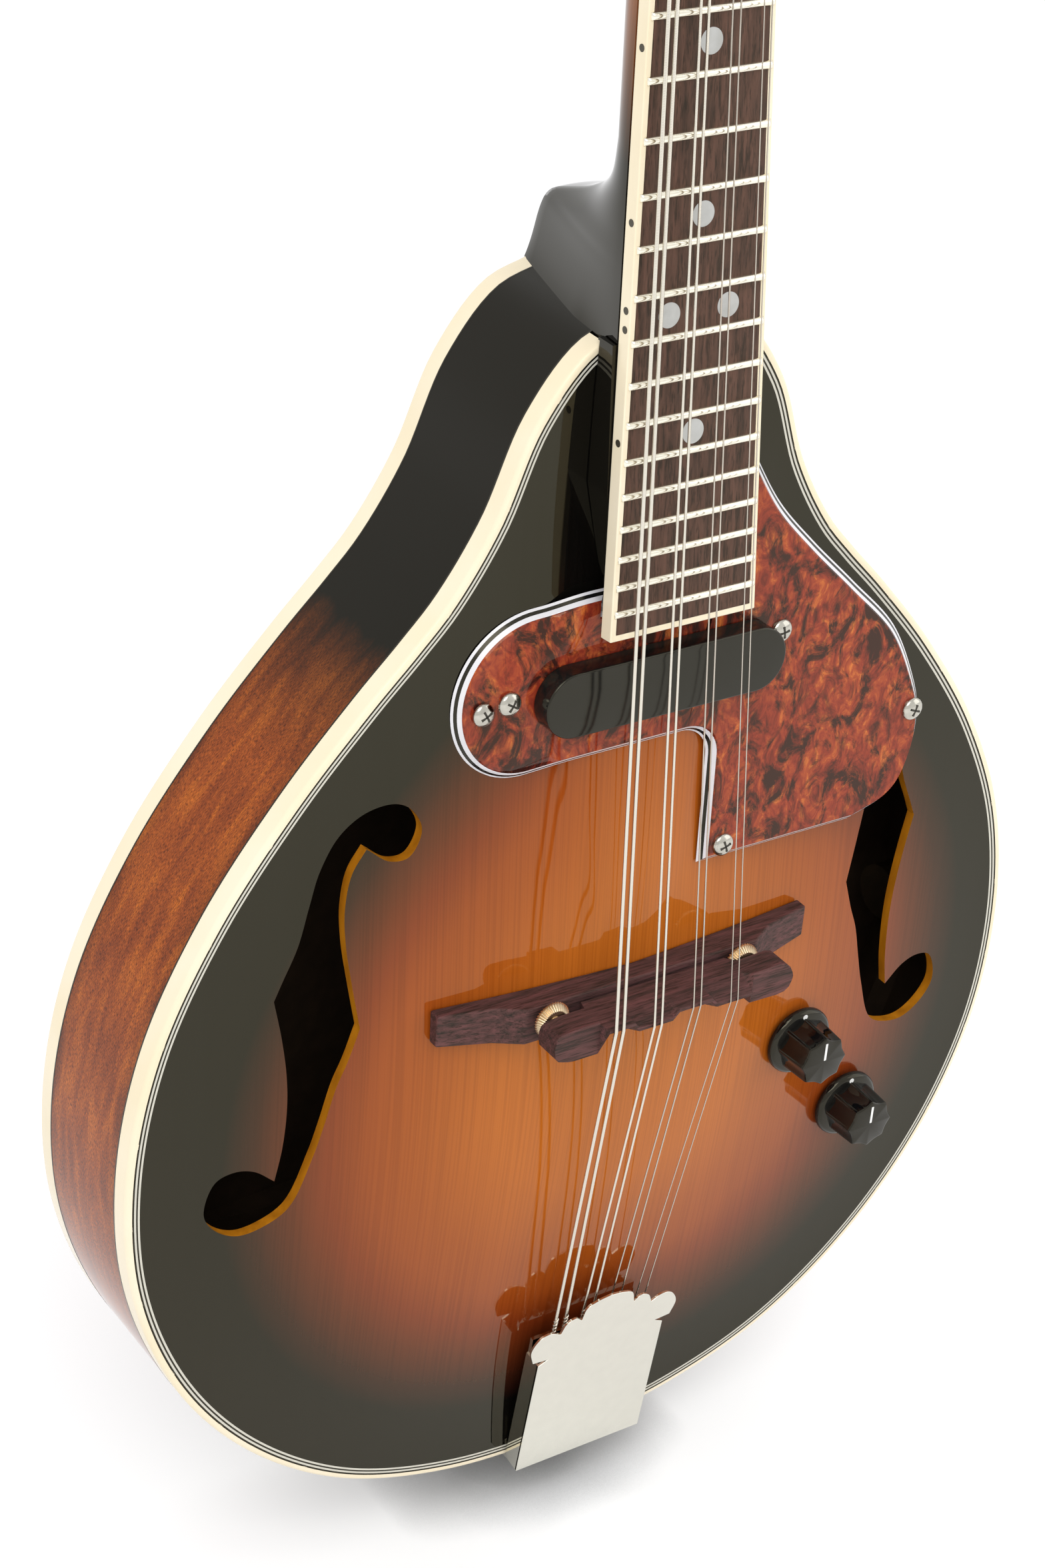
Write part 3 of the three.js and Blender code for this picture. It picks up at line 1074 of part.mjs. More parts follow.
const pickupShape = new THREE.Shape();
const pickupY = boardEnd + PICKUP_Y;
const pickupEnd = (PICKUP_LENGTH - PICKUP_WIDTH) / 2;
pickupShape.absarc(pickupEnd, pickupY, PICKUP_WIDTH / 2, -Math.PI / 2, Math.PI / 2, false);
pickupShape.absarc(-pickupEnd, pickupY, PICKUP_WIDTH / 2, Math.PI / 2, 3 * Math.PI / 2, false);
const pickup = raised(pickupShape, GUARD_THICKNESS + SEAM, PICKUP_HEIGHT, PICKUP_ARC_STEPS);
add(guardFrame, "pickup", pickup, materials.blackPlastic);

// Knobs with their shafts, and the pots that hold them

function knob() {
  const circle = (radius, z, fluteDepth) => Array.from({ length: KNOB_SIDES }, (_, i) => {
    const angle = i * 2 * Math.PI / KNOB_SIDES;
    const reach = radius * (1 - fluteDepth * (1 - Math.cos(KNOB_FLUTES * angle)) / 2);
    return new THREE.Vector3(reach * Math.sin(angle), reach * Math.cos(angle), z);
  });
  return loft([
    circle(POT_SHAFT_RADIUS, -POT_SHAFT_DEPTH, 0), circle(POT_SHAFT_RADIUS, 0, 0),
    circle(KNOB_SKIRT_RADIUS, 0, 0),
    circle(KNOB_SKIRT_RADIUS, KNOB_SKIRT_HEIGHT - KNOB_SKIRT_ROUNDING, 0),
    circle(KNOB_SKIRT_RADIUS - KNOB_SKIRT_ROUNDING, KNOB_SKIRT_HEIGHT, 0),
    circle(KNOB_BASE_RADIUS, KNOB_SKIRT_HEIGHT, KNOB_FLUTE_DEPTH_share),
    circle(KNOB_TOP_RADIUS, KNOB_HEIGHT - KNOB_CROWN_ROUNDING, KNOB_FLUTE_DEPTH_share),
    circle(KNOB_TOP_RADIUS - KNOB_CROWN_ROUNDING, KNOB_HEIGHT, KNOB_FLUTE_DEPTH_share),
  ]);
}

function pot(seat, underside) {
  const body = join(
    post(POT_BODY_RADIUS, 0, 0, underside - POT_BODY_HEIGHT, underside),
    post(POT_BUSHING_RADIUS, 0, 0, underside - SEAM, seat - SEAM),
  );
  const boreBottom = seat - POT_SHAFT_DEPTH - SEAM;
  return cut(body, post(POT_SHAFT_RADIUS + SHAFT_CLEARANCE, 0, 0, boreBottom, seat + OVERRUN));
}

knobPlaces.forEach(({ name, x, y }) => {
  const seat = topAt(x, y) + KNOB_CLEARANCE;
  const reach = POT_BODY_RADIUS;
  const round = [[x - reach, y], [x + reach, y], [x, y - reach], [x, y + reach]];
  const lowest = Math.min(...round.map((place) => topUnder(...place)));
  add(lying, `${name}_knob`, knob(), materials.blackPlastic).position.set(x, y, seat);
  add(lying, `${name}_pot`, pot(seat, lowest - SEAM), materials.nickel).position.set(x, y, 0);
});

// Output jack through the rim

const jackFace = jackX + SEAM + JACK_FLANGE;
const jackInner = jackX - RIM_THICKNESS;
const jack = join(
  jackBar(JACK_FLANGE_RADIUS, jackX + SEAM, jackFace),
  jackBar(JACK_BUSHING_RADIUS, jackInner - 2 * JACK_FLANGE, jackX + JACK_FLANGE),
  jackBar(JACK_BODY_RADIUS, jackInner - JACK_BODY_LENGTH, jackInner - JACK_BODY_INSET),
);
const jackBore = jackBar(JACK_BORE_RADIUS, jackFace - JACK_BORE_DEPTH, jackFace + OVERRUN);
add(lying, "output_jack", cut(jack, jackBore), materials.nickel);

// Strings, from the tailpiece hooks over the saddle and nut to a few turns round each post

function tube(path, radius) {
  const rings = path.map((p, i) => {
    const before = path[Math.max(0, i - 1)];
    const after = path[Math.min(path.length - 1, i + 1)];
    const along = new THREE.Vector3().subVectors(after, before).normalize();
    const side = new THREE.Vector3(1, 0, 0).addScaledVector(along, -along.x);
    if (side.length() < STEEPEST_TURN_share) side.set(0, 0, 1).addScaledVector(along, -along.z);
    side.normalize();
    const up = new THREE.Vector3().crossVectors(along, side);
    return Array.from({ length: STRING_SIDES }, (_, j) => {
      const angle = j * 2 * Math.PI / STRING_SIDES;
      const point = p.clone().addScaledVector(side, radius * Math.cos(angle));
      return point.addScaledVector(up, radius * Math.sin(angle));
    });
  });
  return loft(rings);
}

// The least distance between a winding's own turns, skin to skin.
function leastGap(turns, radius, stepsPerTurn) {
  const later = (i) => turns.slice(i + stepsPerTurn / 2);
  return Math.min(...turns.flatMap((p, i) => later(i).map((q) => p.distanceTo(q) - 2 * radius)));
}

pairs.forEach(([course, side], i) => {
  const sideGap = side * PAIR_GAP / 2;
  const radius = STRING_RADII[course];
  const bass = course < STRING_RADII.length / 2;
  // The outer strings go to the posts nearest the nut.
  const place = tunerPlaces[bass ? i : TUNER_COUNT + pairs.length - 1 - i];
  const start = new THREE.Vector3(TAILPIECE_X + tailStringX([course, side]), frameFrontY - HOOK_LENGTH + SEAM,
    frameZ(frameFrontY) + FRAME_METAL + HOOK_HEIGHT / 2 + radius);
  const saddle = new THREE.Vector3(courseX(course, COURSE_SPREAD_SADDLE) + sideGap, ridgeY(course),
    saddleTop + SEAM + radius);
  const nut = new THREE.Vector3(courseX(course, COURSE_SPREAD_NUT) + sideGap, nutY + NUT_RIDGE,
    NUT_TOP + SEAM + radius).applyMatrix4(neckFrame.matrix);
  const wrap = (POST_RADIUS + SEAM + radius) / Math.cos(Math.PI / WINDING_STEPS);
  // The string meets its post on the side nearer the centre line.
  const winding = Array.from({ length: WINDING_TURNS * WINDING_STEPS + 1 }, (_, k) => {
    const turn = 2 * Math.PI * k / WINDING_STEPS;
    const angle = bass ? turn : Math.PI - turn;
    const drop = k / WINDING_STEPS * (2 * radius + WINDING_PITCH_GAP);
    const point = new THREE.Vector3(wrap * Math.cos(angle), wrap * Math.sin(angle), WINDING_HEIGHT - drop);
    return point.add(new THREE.Vector3(place.x, place.y, 0)).applyMatrix4(headToLying);
  });
  const gap = leastGap(winding, radius, WINDING_STEPS);
  console.log(`string_${i + 1}: least gap between its turns ${gap.toFixed(2)} mm`);
  add(lying, `string_${i + 1}`, tube([start, saddle, nut, ...winding], radius), materials.steel);
});

export default root;
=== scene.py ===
# The electro-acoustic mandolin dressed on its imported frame: lacquered woods, bindings, purfling,
# metal parts and strings. Sizes are millimetres in the instrument's lying frame, as in the
# model's source: X to the treble side, Y from the saddle line to the head, Z out of the top.
import math

import bmesh
import bpy
import numpy as np
from mathutils import Matrix, Vector


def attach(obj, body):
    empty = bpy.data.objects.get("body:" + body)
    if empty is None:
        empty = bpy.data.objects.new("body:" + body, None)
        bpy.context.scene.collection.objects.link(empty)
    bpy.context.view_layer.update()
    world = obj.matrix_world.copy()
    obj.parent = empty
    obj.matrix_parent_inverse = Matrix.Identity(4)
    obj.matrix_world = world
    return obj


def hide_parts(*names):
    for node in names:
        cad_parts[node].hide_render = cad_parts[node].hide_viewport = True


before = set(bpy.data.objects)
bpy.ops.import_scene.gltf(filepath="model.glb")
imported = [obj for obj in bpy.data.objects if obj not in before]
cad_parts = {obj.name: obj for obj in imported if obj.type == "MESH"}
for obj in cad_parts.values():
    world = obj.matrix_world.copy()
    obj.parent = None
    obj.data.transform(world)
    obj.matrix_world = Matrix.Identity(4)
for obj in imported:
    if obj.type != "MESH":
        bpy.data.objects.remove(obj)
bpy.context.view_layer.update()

# Places shared with the model's source
MM = 0.001
SEAM = 0.3
RIM_DEPTH = 46
TAIL_TO_SADDLE = 160.801
STRAP_BUTTON_LENGTH = 14
FRAME_METAL = 1.2
TAIL_HEIGHT = TAIL_TO_SADDLE + 2 * SEAM + FRAME_METAL + STRAP_BUTTON_LENGTH

# Body
BODY_HALF_WIDTH = 135.8
BODY_LENGTH = 335.8
OUTLINE_shares = [
    (0, 0), (0.262, 0.0083), (0.5155, 0.0435), (0.729, 0.1096), (0.888, 0.1968), (0.9816, 0.2984),
    (1, 0.4044), (0.9536, 0.508), (0.8468, 0.6016), (0.7003, 0.6858), (0.5619, 0.7496),
    (0.4735, 0.7865), (0.4087, 0.816), (0.3299, 0.8675), (0.257, 0.9395), (0.1627, 0.9863), (0.07, 1),
]
OUTLINE_STEPS = 300
OUTLINE_SPAN_STEPS = 16
WIDEST_POINT = 6
TOP_ARCH = 11
BACK_ARCH = 9
PLATE_THICKNESS = 4
ARCH_EDGE_share = 0.965
BINDING_WIDTH = 1.8
BINDING_HEIGHT = 6
BINDING_ROUNDING = 1.1
RIM_THICKNESS = 2.4
LINING_WIDTH = 6
LINING_HEIGHT = 8
LINING_TAPER = 4
# Purfling beside the binding: line ends, measured in from the body's edge
PURFLING_ENDS = [2.3, 2.85, 3.3, 3.85]
RIM_LINE_WIDTH = 0.45
RIM_WALL_STEPS = 8
# Further rings of the plates, measured in from the body's edge, and how many lie inside the last one
PLATE_RING_ENDS = [6, 9]
INNER_RING_COUNT = 46
# The distance over which the arch's slope is taken
SLOPE_STEP = 0.5
BINDING_ARC_STEPS = 6

# The sunburst: its middle from the centre line, and how it darkens toward the neck
BURST_SHIFT = 5
BURST_NECK_START = 88
BURST_NECK_FADE = 20
BURST_AT_NECK_share = 0.5
# The stain: from the bindings inward, toward the neck and toward the tail on the rim, and the back's edge
STAIN_EDGE_FADE = 5
STAIN_EDGE_share = 0.3
STAIN_NECK_START = 72
STAIN_NECK_FADE = 32
STAIN_TAIL_START = -92
STAIN_TAIL_FADE = 60
STAIN_TAIL_share = 0.85
STAIN_BACK_START_share = 0.66
STAIN_BACK_FADE_share = 0.24

# How thick the soundboard is at the sound holes
PLATE_AT_HOLES = 2.7
F_HOLE_LENGTH = 114.004
F_HOLE_X = 86.993
F_HOLE_Y = 6.495
F_HOLE_shares = [
    (-0.171, 0.501), (-0.212, 0.48), (-0.24, 0.425), (-0.212, 0.367), (-0.168, 0.366), (-0.111, 0.408),
    (-0.079, 0.356), (-0.065, 0.276), (-0.069, 0.19), (-0.086, 0.085), (-0.107, -0.026),
    (-0.081, -0.104), (-0.057, -0.164), (-0.032, -0.258), (-0.009, -0.337), (0.041, -0.458),
    (0.099, -0.493), (0.159, -0.5), (0.213, -0.469), (0.242, -0.417), (0.218, -0.339), (0.174, -0.324),
    (0.128, -0.335), (0.078, -0.375), (0.063, -0.291), (0.056, -0.193), (0.059, -0.11),
    (0.073, -0.01), (0.094, 0.091), (0.076, 0.133), (0.042, 0.211), (0.018, 0.304), (-0.004, 0.382),
    (-0.046, 0.455), (-0.104, 0.494),
]
# Where the hole's outline turns a corner, as positions in the list above
F_HOLE_CORNERS = [5, 10, 23, 28]
F_HOLE_SPAN_STEPS = 8

# Neck and fingerboard
SCALE_LENGTH = 352
FRET_COUNT = 20
NECK_PITCH = 0.096
FRET_PLANE_AT_SADDLE = 27.4
FRET_HALF_AT_SADDLE = 23
FRET_TAPER_share = 0.026
FRET_HEIGHT = 1
FRET_WIDTH = 1.9
BOARD_THICKNESS = 4
BOARD_END = 104
BOARD_BINDING = 1.65
BOARD_SIDE_MARGIN = 0.65
NUT_WIDTH = 4.5
NUT_RIDGE = 0.9
NUT_TOP = 0.2
DOT_RADIUS = 3
DOT_OFFSET = 8.2
SIDE_DOT_RADIUS = 0.9
DOT_FRETS = [3, 5, 7, 10, 12, 15]
OCTAVE_FRET = 12
NECK_DEPTH = 15
BOARD_STEPS = 40
BOARD_EDGE = 0.3
# How far a fret stays off the binding's outer face as a share of the binding, how its ends are dressed
# (distance from the end, share of full height), and the sides of its crown
FRET_INSET_share = 0.4
FRET_ENDS = [(0, 0.3), (0.25, 0.75), (0.7, 1)]
FRET_ARC_STEPS = 8
SIDE_DOT_DEPTH_share = 0.42
SIDE_DOT_TWIN_OFFSET = 2.2
SIDE_DOT_SINK = 0.32
DOT_SIDES = 40
SIDE_DOT_SIDES = 20

# Heel: stations past the body's neck end as shares of its reach, each with its share of full depth,
# share of the cap's half width, and how square its section is
HEEL_SEAT = 9
HEEL_REACH = 43
HEEL_CAP_HALF_WIDTH = 9.4
HEEL_TOP_HALF_WIDTH = 20.6
BINDING_END_X = 18.9
HEEL_shares = [
    (0, 1, 1, 1), (0.17, 1, 0.99, 1), (0.346, 1, 0.862, 1), (0.433, 0.994, 0.76, 0.9), (0.475, 0.972, 0.66, 0.8),
    (0.5, 0.922, 0.62, 0.7), (0.53, 0.8, 0.65, 0.6), (0.606, 0.5, 0.8, 0.4), (0.712, 0.25, 1, 0.15),
    (0.846, 0.07, 1.2, 0.05), (1, 0, 1.2, 0),
]
HEEL_SIDE_share = 0.8
HEEL_SIDE_POWER = 1.2
HEEL_MIDDLE_share = 0.2
HEEL_FLARE = 1.6
HEEL_FLARE_REACH = 3.5
HEEL_FLARE_FADE = 14
HEEL_CURVE_STEPS = 12
HEEL_CURVE_POINTS = 200
# Where the body's outline counts as near the neck, and how far the neck reaches in under the board
NEAR_NECK_Y = 60
NECK_TOP_REACH = 1.2
NECK_SECTION_STEPS = 26
NECK_START_ROUNDS = 6
NECK_RINGS = 60
NECK_RING_POWER = 1.6
SHAFT_RINGS = 12
# Past the nut: head place, half width, top, bottom and how square the section is
THROAT = [
    (0.6, 15.1, -0.1, -17, 0.9), (4, 15.2, -0.1, -16.8, 0.75), (8, 15.4, -0.1, -15.6, 0.6),
    (13, 15.6, -0.1, -13.9, 0.4), (18, 15.8, -0.1, -12.9, 0.3),
]

# Headstock and tuners
HEAD_PITCH = 0.26
HEAD_DROP = 3
HEAD_THICKNESS = 13
HEAD_LENGTH = 148
HEAD_HALF_WIDTH = 33
HEAD_shares = [
    (0.46, 0.006), (0.5, 0.05), (0.7, 0.12), (0.95, 0.19), (1, 0.26), (0.97, 0.5), (0.92, 0.74),
    (0.9, 0.84), (0.78, 0.91), (0.5, 0.945), (0.22, 0.985), (0, 1),
]
HEAD_CORNERS = [7, 9]
HEAD_EDGE = 1.0
HEAD_SPAN_STEPS = 8
POST_HEIGHT = 15
POST_CROWN = 0.6
# The post's waist as inset and height, its screw as radius and height under the wheel, and the bushing
POST_WAIST = [(0, 4), (0.25, 5), (0.25, 10), (0, 11)]
POST_SCREW = [(1.6, -1.4), (2.1, -0.9), (2.1, 0)]
POST_SIDES = 40
POST_SCREW_SIDES = 32
BUSHING_GAP = 0.35
BUSHING_EDGE = [(5, 0), (5, 0.6), (4.2, 1.3)]
BUSHING_SIDES = 36
# Half a tooth: shares of the teeth's spacing, of the root's depth and of the crest's height
TOOTH_shares = [(0.42, 1, 0), (0.26, 0.7, 0), (0.1, 0, 0.85), (0, 0, 1)]
PLATE_METAL = 1
WHEEL_STAND_OFF = 3.6
WHEEL_TEETH = 12
WHEEL_THICKNESS = 2
WHEEL_CREST = 0.6
WHEEL_ROOT = 0.8
WORM_PITCH = 2.2
WORM_PITCH_RADIUS = 2.4
WORM_CREST = 0.55
WORM_ROOT = 0.85
WORM_TURNS = 2
WORM_THREAD_share = 0.72
WORM_FLANK_share = 0.36
WORM_SHAFT_RADIUS = 1.3
WORM_STEPS = 40
WORM_SIDES = 24
SHAFT_CHAMFER = 0.3
MESH_CLEARANCE = 0.35
LUG_OFFSET = 5.6
LUG_THICKNESS = 1
BUTTON_GAP = 5
BUTTON_LENGTH = 13
BUTTON_WIDTH = 12
BUTTON_THICKNESS = 6
BUTTON_COLLAR = 3
BUTTON_LEAST = 0.02
BUTTON_WIDTH_POWER = 0.8
BUTTON_THICKNESS_POWER = 0.6
BUTTON_STEPS = 22
BUTTON_SIDES = 32

# Strings
STRING_RADII = [0.5, 0.36, 0.22, 0.16]
PAIR_GAP = 2.2
PAIR_GAP_TAIL = 3.3
COURSE_SPREAD_SADDLE = 35.4
COURSE_SPREAD_NUT = 22
COURSE_SPREAD_TAIL = 26
TUNER_FIRST = 40
TUNER_SPACING = 23
TUNER_COUNT = 4
POST_OFFSET = 18.5
POST_RADIUS = 3
WINDING_TURNS = 2
WINDING_STEPS = 24
WINDING_HEIGHT = 7
WINDING_PITCH_GAP = 0.45
STRING_SIDES = 10
WOUND_STRINGS = 4
# The twist behind a string's loop
TWIST_START = 2
TWIST_LENGTH = 9
TWIST_COUNT = 6
TWIST_STEPS = 10
TWIST_SIDES = 6
TWIST_GRIP_share = 1.15
TWIST_WIRE_share = 0.55

# Bridge
BASE_TOP = 17
THUMBWHEEL_RADIUS = 5
THUMBWHEEL_THICKNESS = 2.3
THUMBWHEEL_CHAMFER = 1.4
THUMBWHEEL_RIDGES = 40
THUMBWHEEL_GROOVE_share = 0.09
THUMBWHEEL_SIDES_PER_RIDGE = 6
THUMBWHEEL_BORE_GAP = 0.2
THUMBWHEEL_FOOT_INSET = 0.5
THUMBWHEEL_FOOT_HEIGHT = 0.35
STUD_X = 29
STUD_RADIUS = 1.9
STUD_SINK = 2
STUD_RISE = 1
STUD_SIDES = 32
SADDLE_TRAVEL = 1
SADDLE_BOTTOM = BASE_TOP + SADDLE_TRAVEL + SEAM + THUMBWHEEL_THICKNESS + SEAM
SADDLE_BODY_HEIGHT = 7
SADDLE_CREST_HEIGHT = 3.4
SADDLE_TOP = SADDLE_BOTTOM + SADDLE_BODY_HEIGHT + SADDLE_CREST_HEIGHT
SADDLE_CENTRE_Y = 1.5
COMPENSATION = 1

# Tailpiece
TAILPIECE_X = 3.5
COVER_REAR_Y = -161.001
COVER_REAR_TOP = 6.5
COVER_SLOPE = 0.127
COVER_METAL = 0.8
COVER_WALL = 6
COVER_HALF_WIDTH = 20.4
COVER_FRONT = 60.2
COVER_EDGE_shares = [
    (-1, 0.69), (-0.86, 0.714), (-1.1, 0.722), (-1.16, 0.797), (-1.06, 0.864), (-0.88, 0.88),
    (-0.725, 0.855), (-0.66, 0.905), (-0.515, 0.925), (-0.417, 0.9), (-0.37, 0.96), (-0.22, 0.987), (0, 1),
]
COVER_CORNERS = [0, 1, 2, 6, 9]
FRAME_FRONT_Y = -115.001
FRAME_REAR_HEIGHT = 0.6
FRAME_SLOPE = 0.1
HOOK_LENGTH = 2
HOOK_HEIGHT = 3.6
COVER_SPAN_STEPS = 7
COVER_WALL_TOP = -0.1
COVER_WALL_CORNER = (1.5, 2)

# Pickguard and pickup
GUARD_TILT = 0.045
GUARD_BASE = 9.253
GUARD_THICKNESS = 2.4
# The plies' heights up the bevelled edge
GUARD_PLY_TOPS = [0.5, 1.15, 2.0]
# The bass lobe bends down onto the arch: where the bend starts around the pickup's end and how far
# it takes, and how its outline shifts as it drops
GUARD_BEND_CENTRE = (-26.5, 86.3)
GUARD_BEND_START = 11
GUARD_BEND_REACH = 15
GUARD_BEND_SIDE_X = -18
GUARD_SEAT_GAP = 0.25
GUARD_BEND_SHIFT_shares = (0.75, -0.87)
GUARD_BEND_STEPS = 14
GUARD_BEND_OFFSET_share = 0.03
GUARD_EDGE_STEPS = 10
GUARD_LOBE_STEPS = 40
GUARD_CORNER_STEPS = 12
# The spacers under the screws, where the guard stands off the top by more than this
SPACER_LEAST = 1
SPACER_RADIUS = 2.2
SPACER_SIDES = 24
GUARD_LOBE_RADIUS = 22.1
GUARD_LOBE_X = -35
GUARD_LOBE_Y = 89
GUARD_INNER_X = 19.2
GUARD_LOWER_Y = 27.8
GUARD_CORNER_RADIUS = 8
GUARD_WIDTH = 87.2
GUARD_TOP_Y = 146
GUARD_EDGE_shares = [
    (0.775, 0), (0.897, 0.029), (0.955, 0.07), (0.998, 0.165), (0.995, 0.25), (0.966, 0.318),
    (0.87, 0.455), (0.697, 0.586), (0.538, 0.7), (0.406, 0.806), (0.313, 0.914), (0.248, 1),
]
SUPPORT_HALF_WIDTH = 20.3
SUPPORT_SHOULDER_Y = 138
SUPPORT_TIP_HALF_WIDTH = 13.8
SUPPORT_TIP_Y = 108
SUPPORT_GAP = 1.2
PICKUP_LENGTH = 70
PICKUP_WIDTH = 17
PICKUP_HEIGHT = 5.6
PICKUP_Y = 86.3
PICKUP_ROUNDING = 0.5
PICKUP_ARC_STEPS = 6
PICKUP_END_STEPS = 24
GUARD_SCREWS = [(-49.2, 87.8), (83.2, 57.1), (25.3, 32.5), (-41.8, 88.1), (37.5, 89.4)]
SCREW_RADIUS = 3.1
SCREW_HEIGHT = 1.6
SCREW_SLOT_REACH = 1.6
SCREW_SLOT_HALF_WIDTH = 0.27
SCREW_SLOT_FLOOR_share = 0.6
SCREW_RIM = 0.25
SCREW_ARC_STEPS = 8
SCREW_SIDES = 32
# How far the first screw's cross is turned, and each further one from the last, in radians
SCREW_TURN = 0.5
SCREW_TURN_STEP = 0.7

# Knobs
KNOB_PLACES = {"volume": (61.504, -40.013), "tone": (85.296, -71.21)}
KNOB_SKIRT_RADIUS = 9.9
KNOB_SKIRT_HEIGHT = 2.4
KNOB_BASE_RADIUS = 7.9
KNOB_TOP_RADIUS = 7.3
KNOB_HEIGHT = 12.4
KNOB_FLUTES = 8
KNOB_FLUTE_DEPTH_share = 0.12
KNOB_CLEARANCE = 1.7
KNOB_SIDES = 128
POINTER_WIDTH = 0.7
POINTER_START = 0.6
POINTER_INSET = 1.4
KNOB_DOT_RADIUS = 0.75
KNOB_DOT_SIDES = 24
KNOB_SKIRT_ROUNDING = 0.4
KNOB_SKIRT_TOP_INSET = 1.2
KNOB_SKIRT_SHOULDER = 0.5
KNOB_SKIRT_WALL_share = 0.55
KNOB_SKIRT_SHOULDER_share = 0.85
# The cap: how far it sinks into the skirt, where its flutes begin, and its crown as inset and drop
KNOB_CAP_SINK = 0.2
KNOB_CAP_START = 0.01
KNOB_CROWN = [(-0.1, 0.7), (0.2, 0.2), (0.8, 0)]
PAINT = 0.08
# The radius at which a turned profile meets its axis
AXIS = 0.01

# Edges that the dressed CAD nodes and some pieces have rounded
BASE_EDGE = 0.6
COVER_EDGE = 0.22
WALL_EDGE = 0.15
DRESSED = {
    # The blocks and braces inside take the near-black inner colour, a painted shade
    "neck_block": ("inside", 0), "tail_block": ("inside", 0), "tone_bar_bass": ("inside", 0),
    "tone_bar_treble": ("inside", 0), "back_brace_upper": ("inside", 0), "back_brace_lower": ("inside", 0),
    "fingerboard_support": ("lacquer", 0.5), "nut": ("bone", 0.3), "truss_rod": ("wire", 0),
    "truss_rod_cover": ("plastic", 0.3), "tailpiece_frame": ("nickel", 0.2), "strap_button": ("nickel", 0.3),
    "output_jack": ("nickel", 0.3), "volume_pot": ("nickel", 0.2), "tone_pot": ("nickel", 0.2),
    "tuner_plate_bass": ("nickel", 0.2), "tuner_plate_treble": ("nickel", 0.2),
}

# Depths of the materials' fine relief
FIBRE_DEPTH = 0.2
PORE_DEPTH = 0.25
WINDING_DEPTH = 0.08

# Stage and camera. The floor's reach, the lights' places and sizes are metres.
FLOOR_REACH = 8
# How far from the object the floor's painted shadow reaches, in millimetres
FLOOR_SHADE_REACH = 21
LIGHT_AIM = (0, 0, 0.25)
LIGHTS = {
    "key": ((-1.2, -1.6, 2.2), (1.6, 1.6), 29),
    "fill": ((1.8, -1.2, 1.2), (1.8, 1.8), 10.5),
}
IMAGE_HEIGHT = 2353
FOCAL_PIXELS = 4958.5
CAMERA_PLACE = (-430.7, -580.2, 638.6)
CAMERA_AZIMUTH = 35.683
CAMERA_ELEVATION = -30.421
CAMERA_ROLL = 5.056
SENSOR_WIDTH = 36
CAMERA_CLIP = 10


# Frames: lying millimetres to the world's metres, the neck's, the head's and the pickguard's

PLACE = Matrix.Scale(MM, 4) @ Matrix.Translation((0, -RIM_DEPTH / 2, TAIL_HEIGHT)) @ Matrix.Rotation(
    math.pi / 2, 4, "X")
NECK = Matrix.Translation((0, 0, FRET_PLANE_AT_SADDLE)) @ Matrix.Rotation(-NECK_PITCH, 4, "X")
HEAD = NECK @ Matrix.Translation((0, SCALE_LENGTH + NUT_WIDTH, -HEAD_DROP)) @ Matrix.Rotation(-HEAD_PITCH, 4, "X")
GUARD = Matrix.Translation((0, 0, GUARD_BASE)) @ Matrix.Rotation(-GUARD_TILT, 4, "X")
BASE = Matrix.Identity(4)


# Curves

def catmull(points, per_span):
    """A centripetal curve through the points, open at its ends."""
    points = [Vector(p) for p in points]
    ends = [2 * points[0] - points[1], *points, 2 * points[-1] - points[-2]]
    dense = []
    for p0, p1, p2, p3 in zip(ends, ends[1:], ends[2:], ends[3:]):
        d0, d1, d2 = [math.sqrt((b - a).length) for a, b in ((p0, p1), (p1, p2), (p2, p3))]
        t1 = ((p1 - p0) / d0 - (p2 - p0) / (d0 + d1) + (p2 - p1) / d1) * d1
        t2 = ((p2 - p1) / d1 - (p3 - p1) / (d1 + d2) + (p3 - p2) / d2) * d1
        for i in range(per_span):
            t = i / per_span
            square = (3 * (p2 - p1) - 2 * t1 - t2) * t * t
            dense.append(p1 + t1 * t + square + (2 * (p1 - p2) + t1 + t2) * t ** 3)
    return dense + [points[-1]]


def cornered(points, corners, per_span, closed):
    """A curve through the points that keeps a sharp corner at the listed ones."""
    count = len(points)
    if closed:
        runs = [(a, b if b > a else b + count) for a, b in zip(corners, corners[1:] + corners[:1])]
    else:
        stops = sorted({0, *corners, count - 1})
        runs = list(zip(stops, stops[1:]))
    dense = []
    for a, b in runs:
        dense += catmull([points[i % count] for i in range(a, b + 1)], per_span)[:-1]
    return dense if closed else dense + [Vector(points[-1])]


def evenly(points, steps):
    """The same line with equal steps along it."""
    points = np.array([list(p) for p in points])
    along = np.concatenate([[0], np.cumsum(np.linalg.norm(np.diff(points, axis=0), axis=1))])
    wanted = np.linspace(0, along[-1], steps + 1)
    return [Vector([np.interp(w, along, points[:, k]) for k in range(points.shape[1])]) for w in wanted]


def outward_at(path, i, closed=True):
    """Outward direction at a path's point, stretched at corners so that offsets stay parallel."""
    count = len(path)
    sides = []
    if closed or i > 0:
        sides.append(path[i] - path[(i - 1) % count])
    if closed or i < count - 1:
        sides.append(path[(i + 1) % count] - path[i])
    sides = [Vector((d.y, -d.x)).normalized() for d in sides]
    total = (sides[0] + sides[-1]).normalized()
    return total / total.dot(sides[0])


def offset(path, inward, closed=True):
    return [p - outward_at(path, i, closed) * inward for i, p in enumerate(path)]


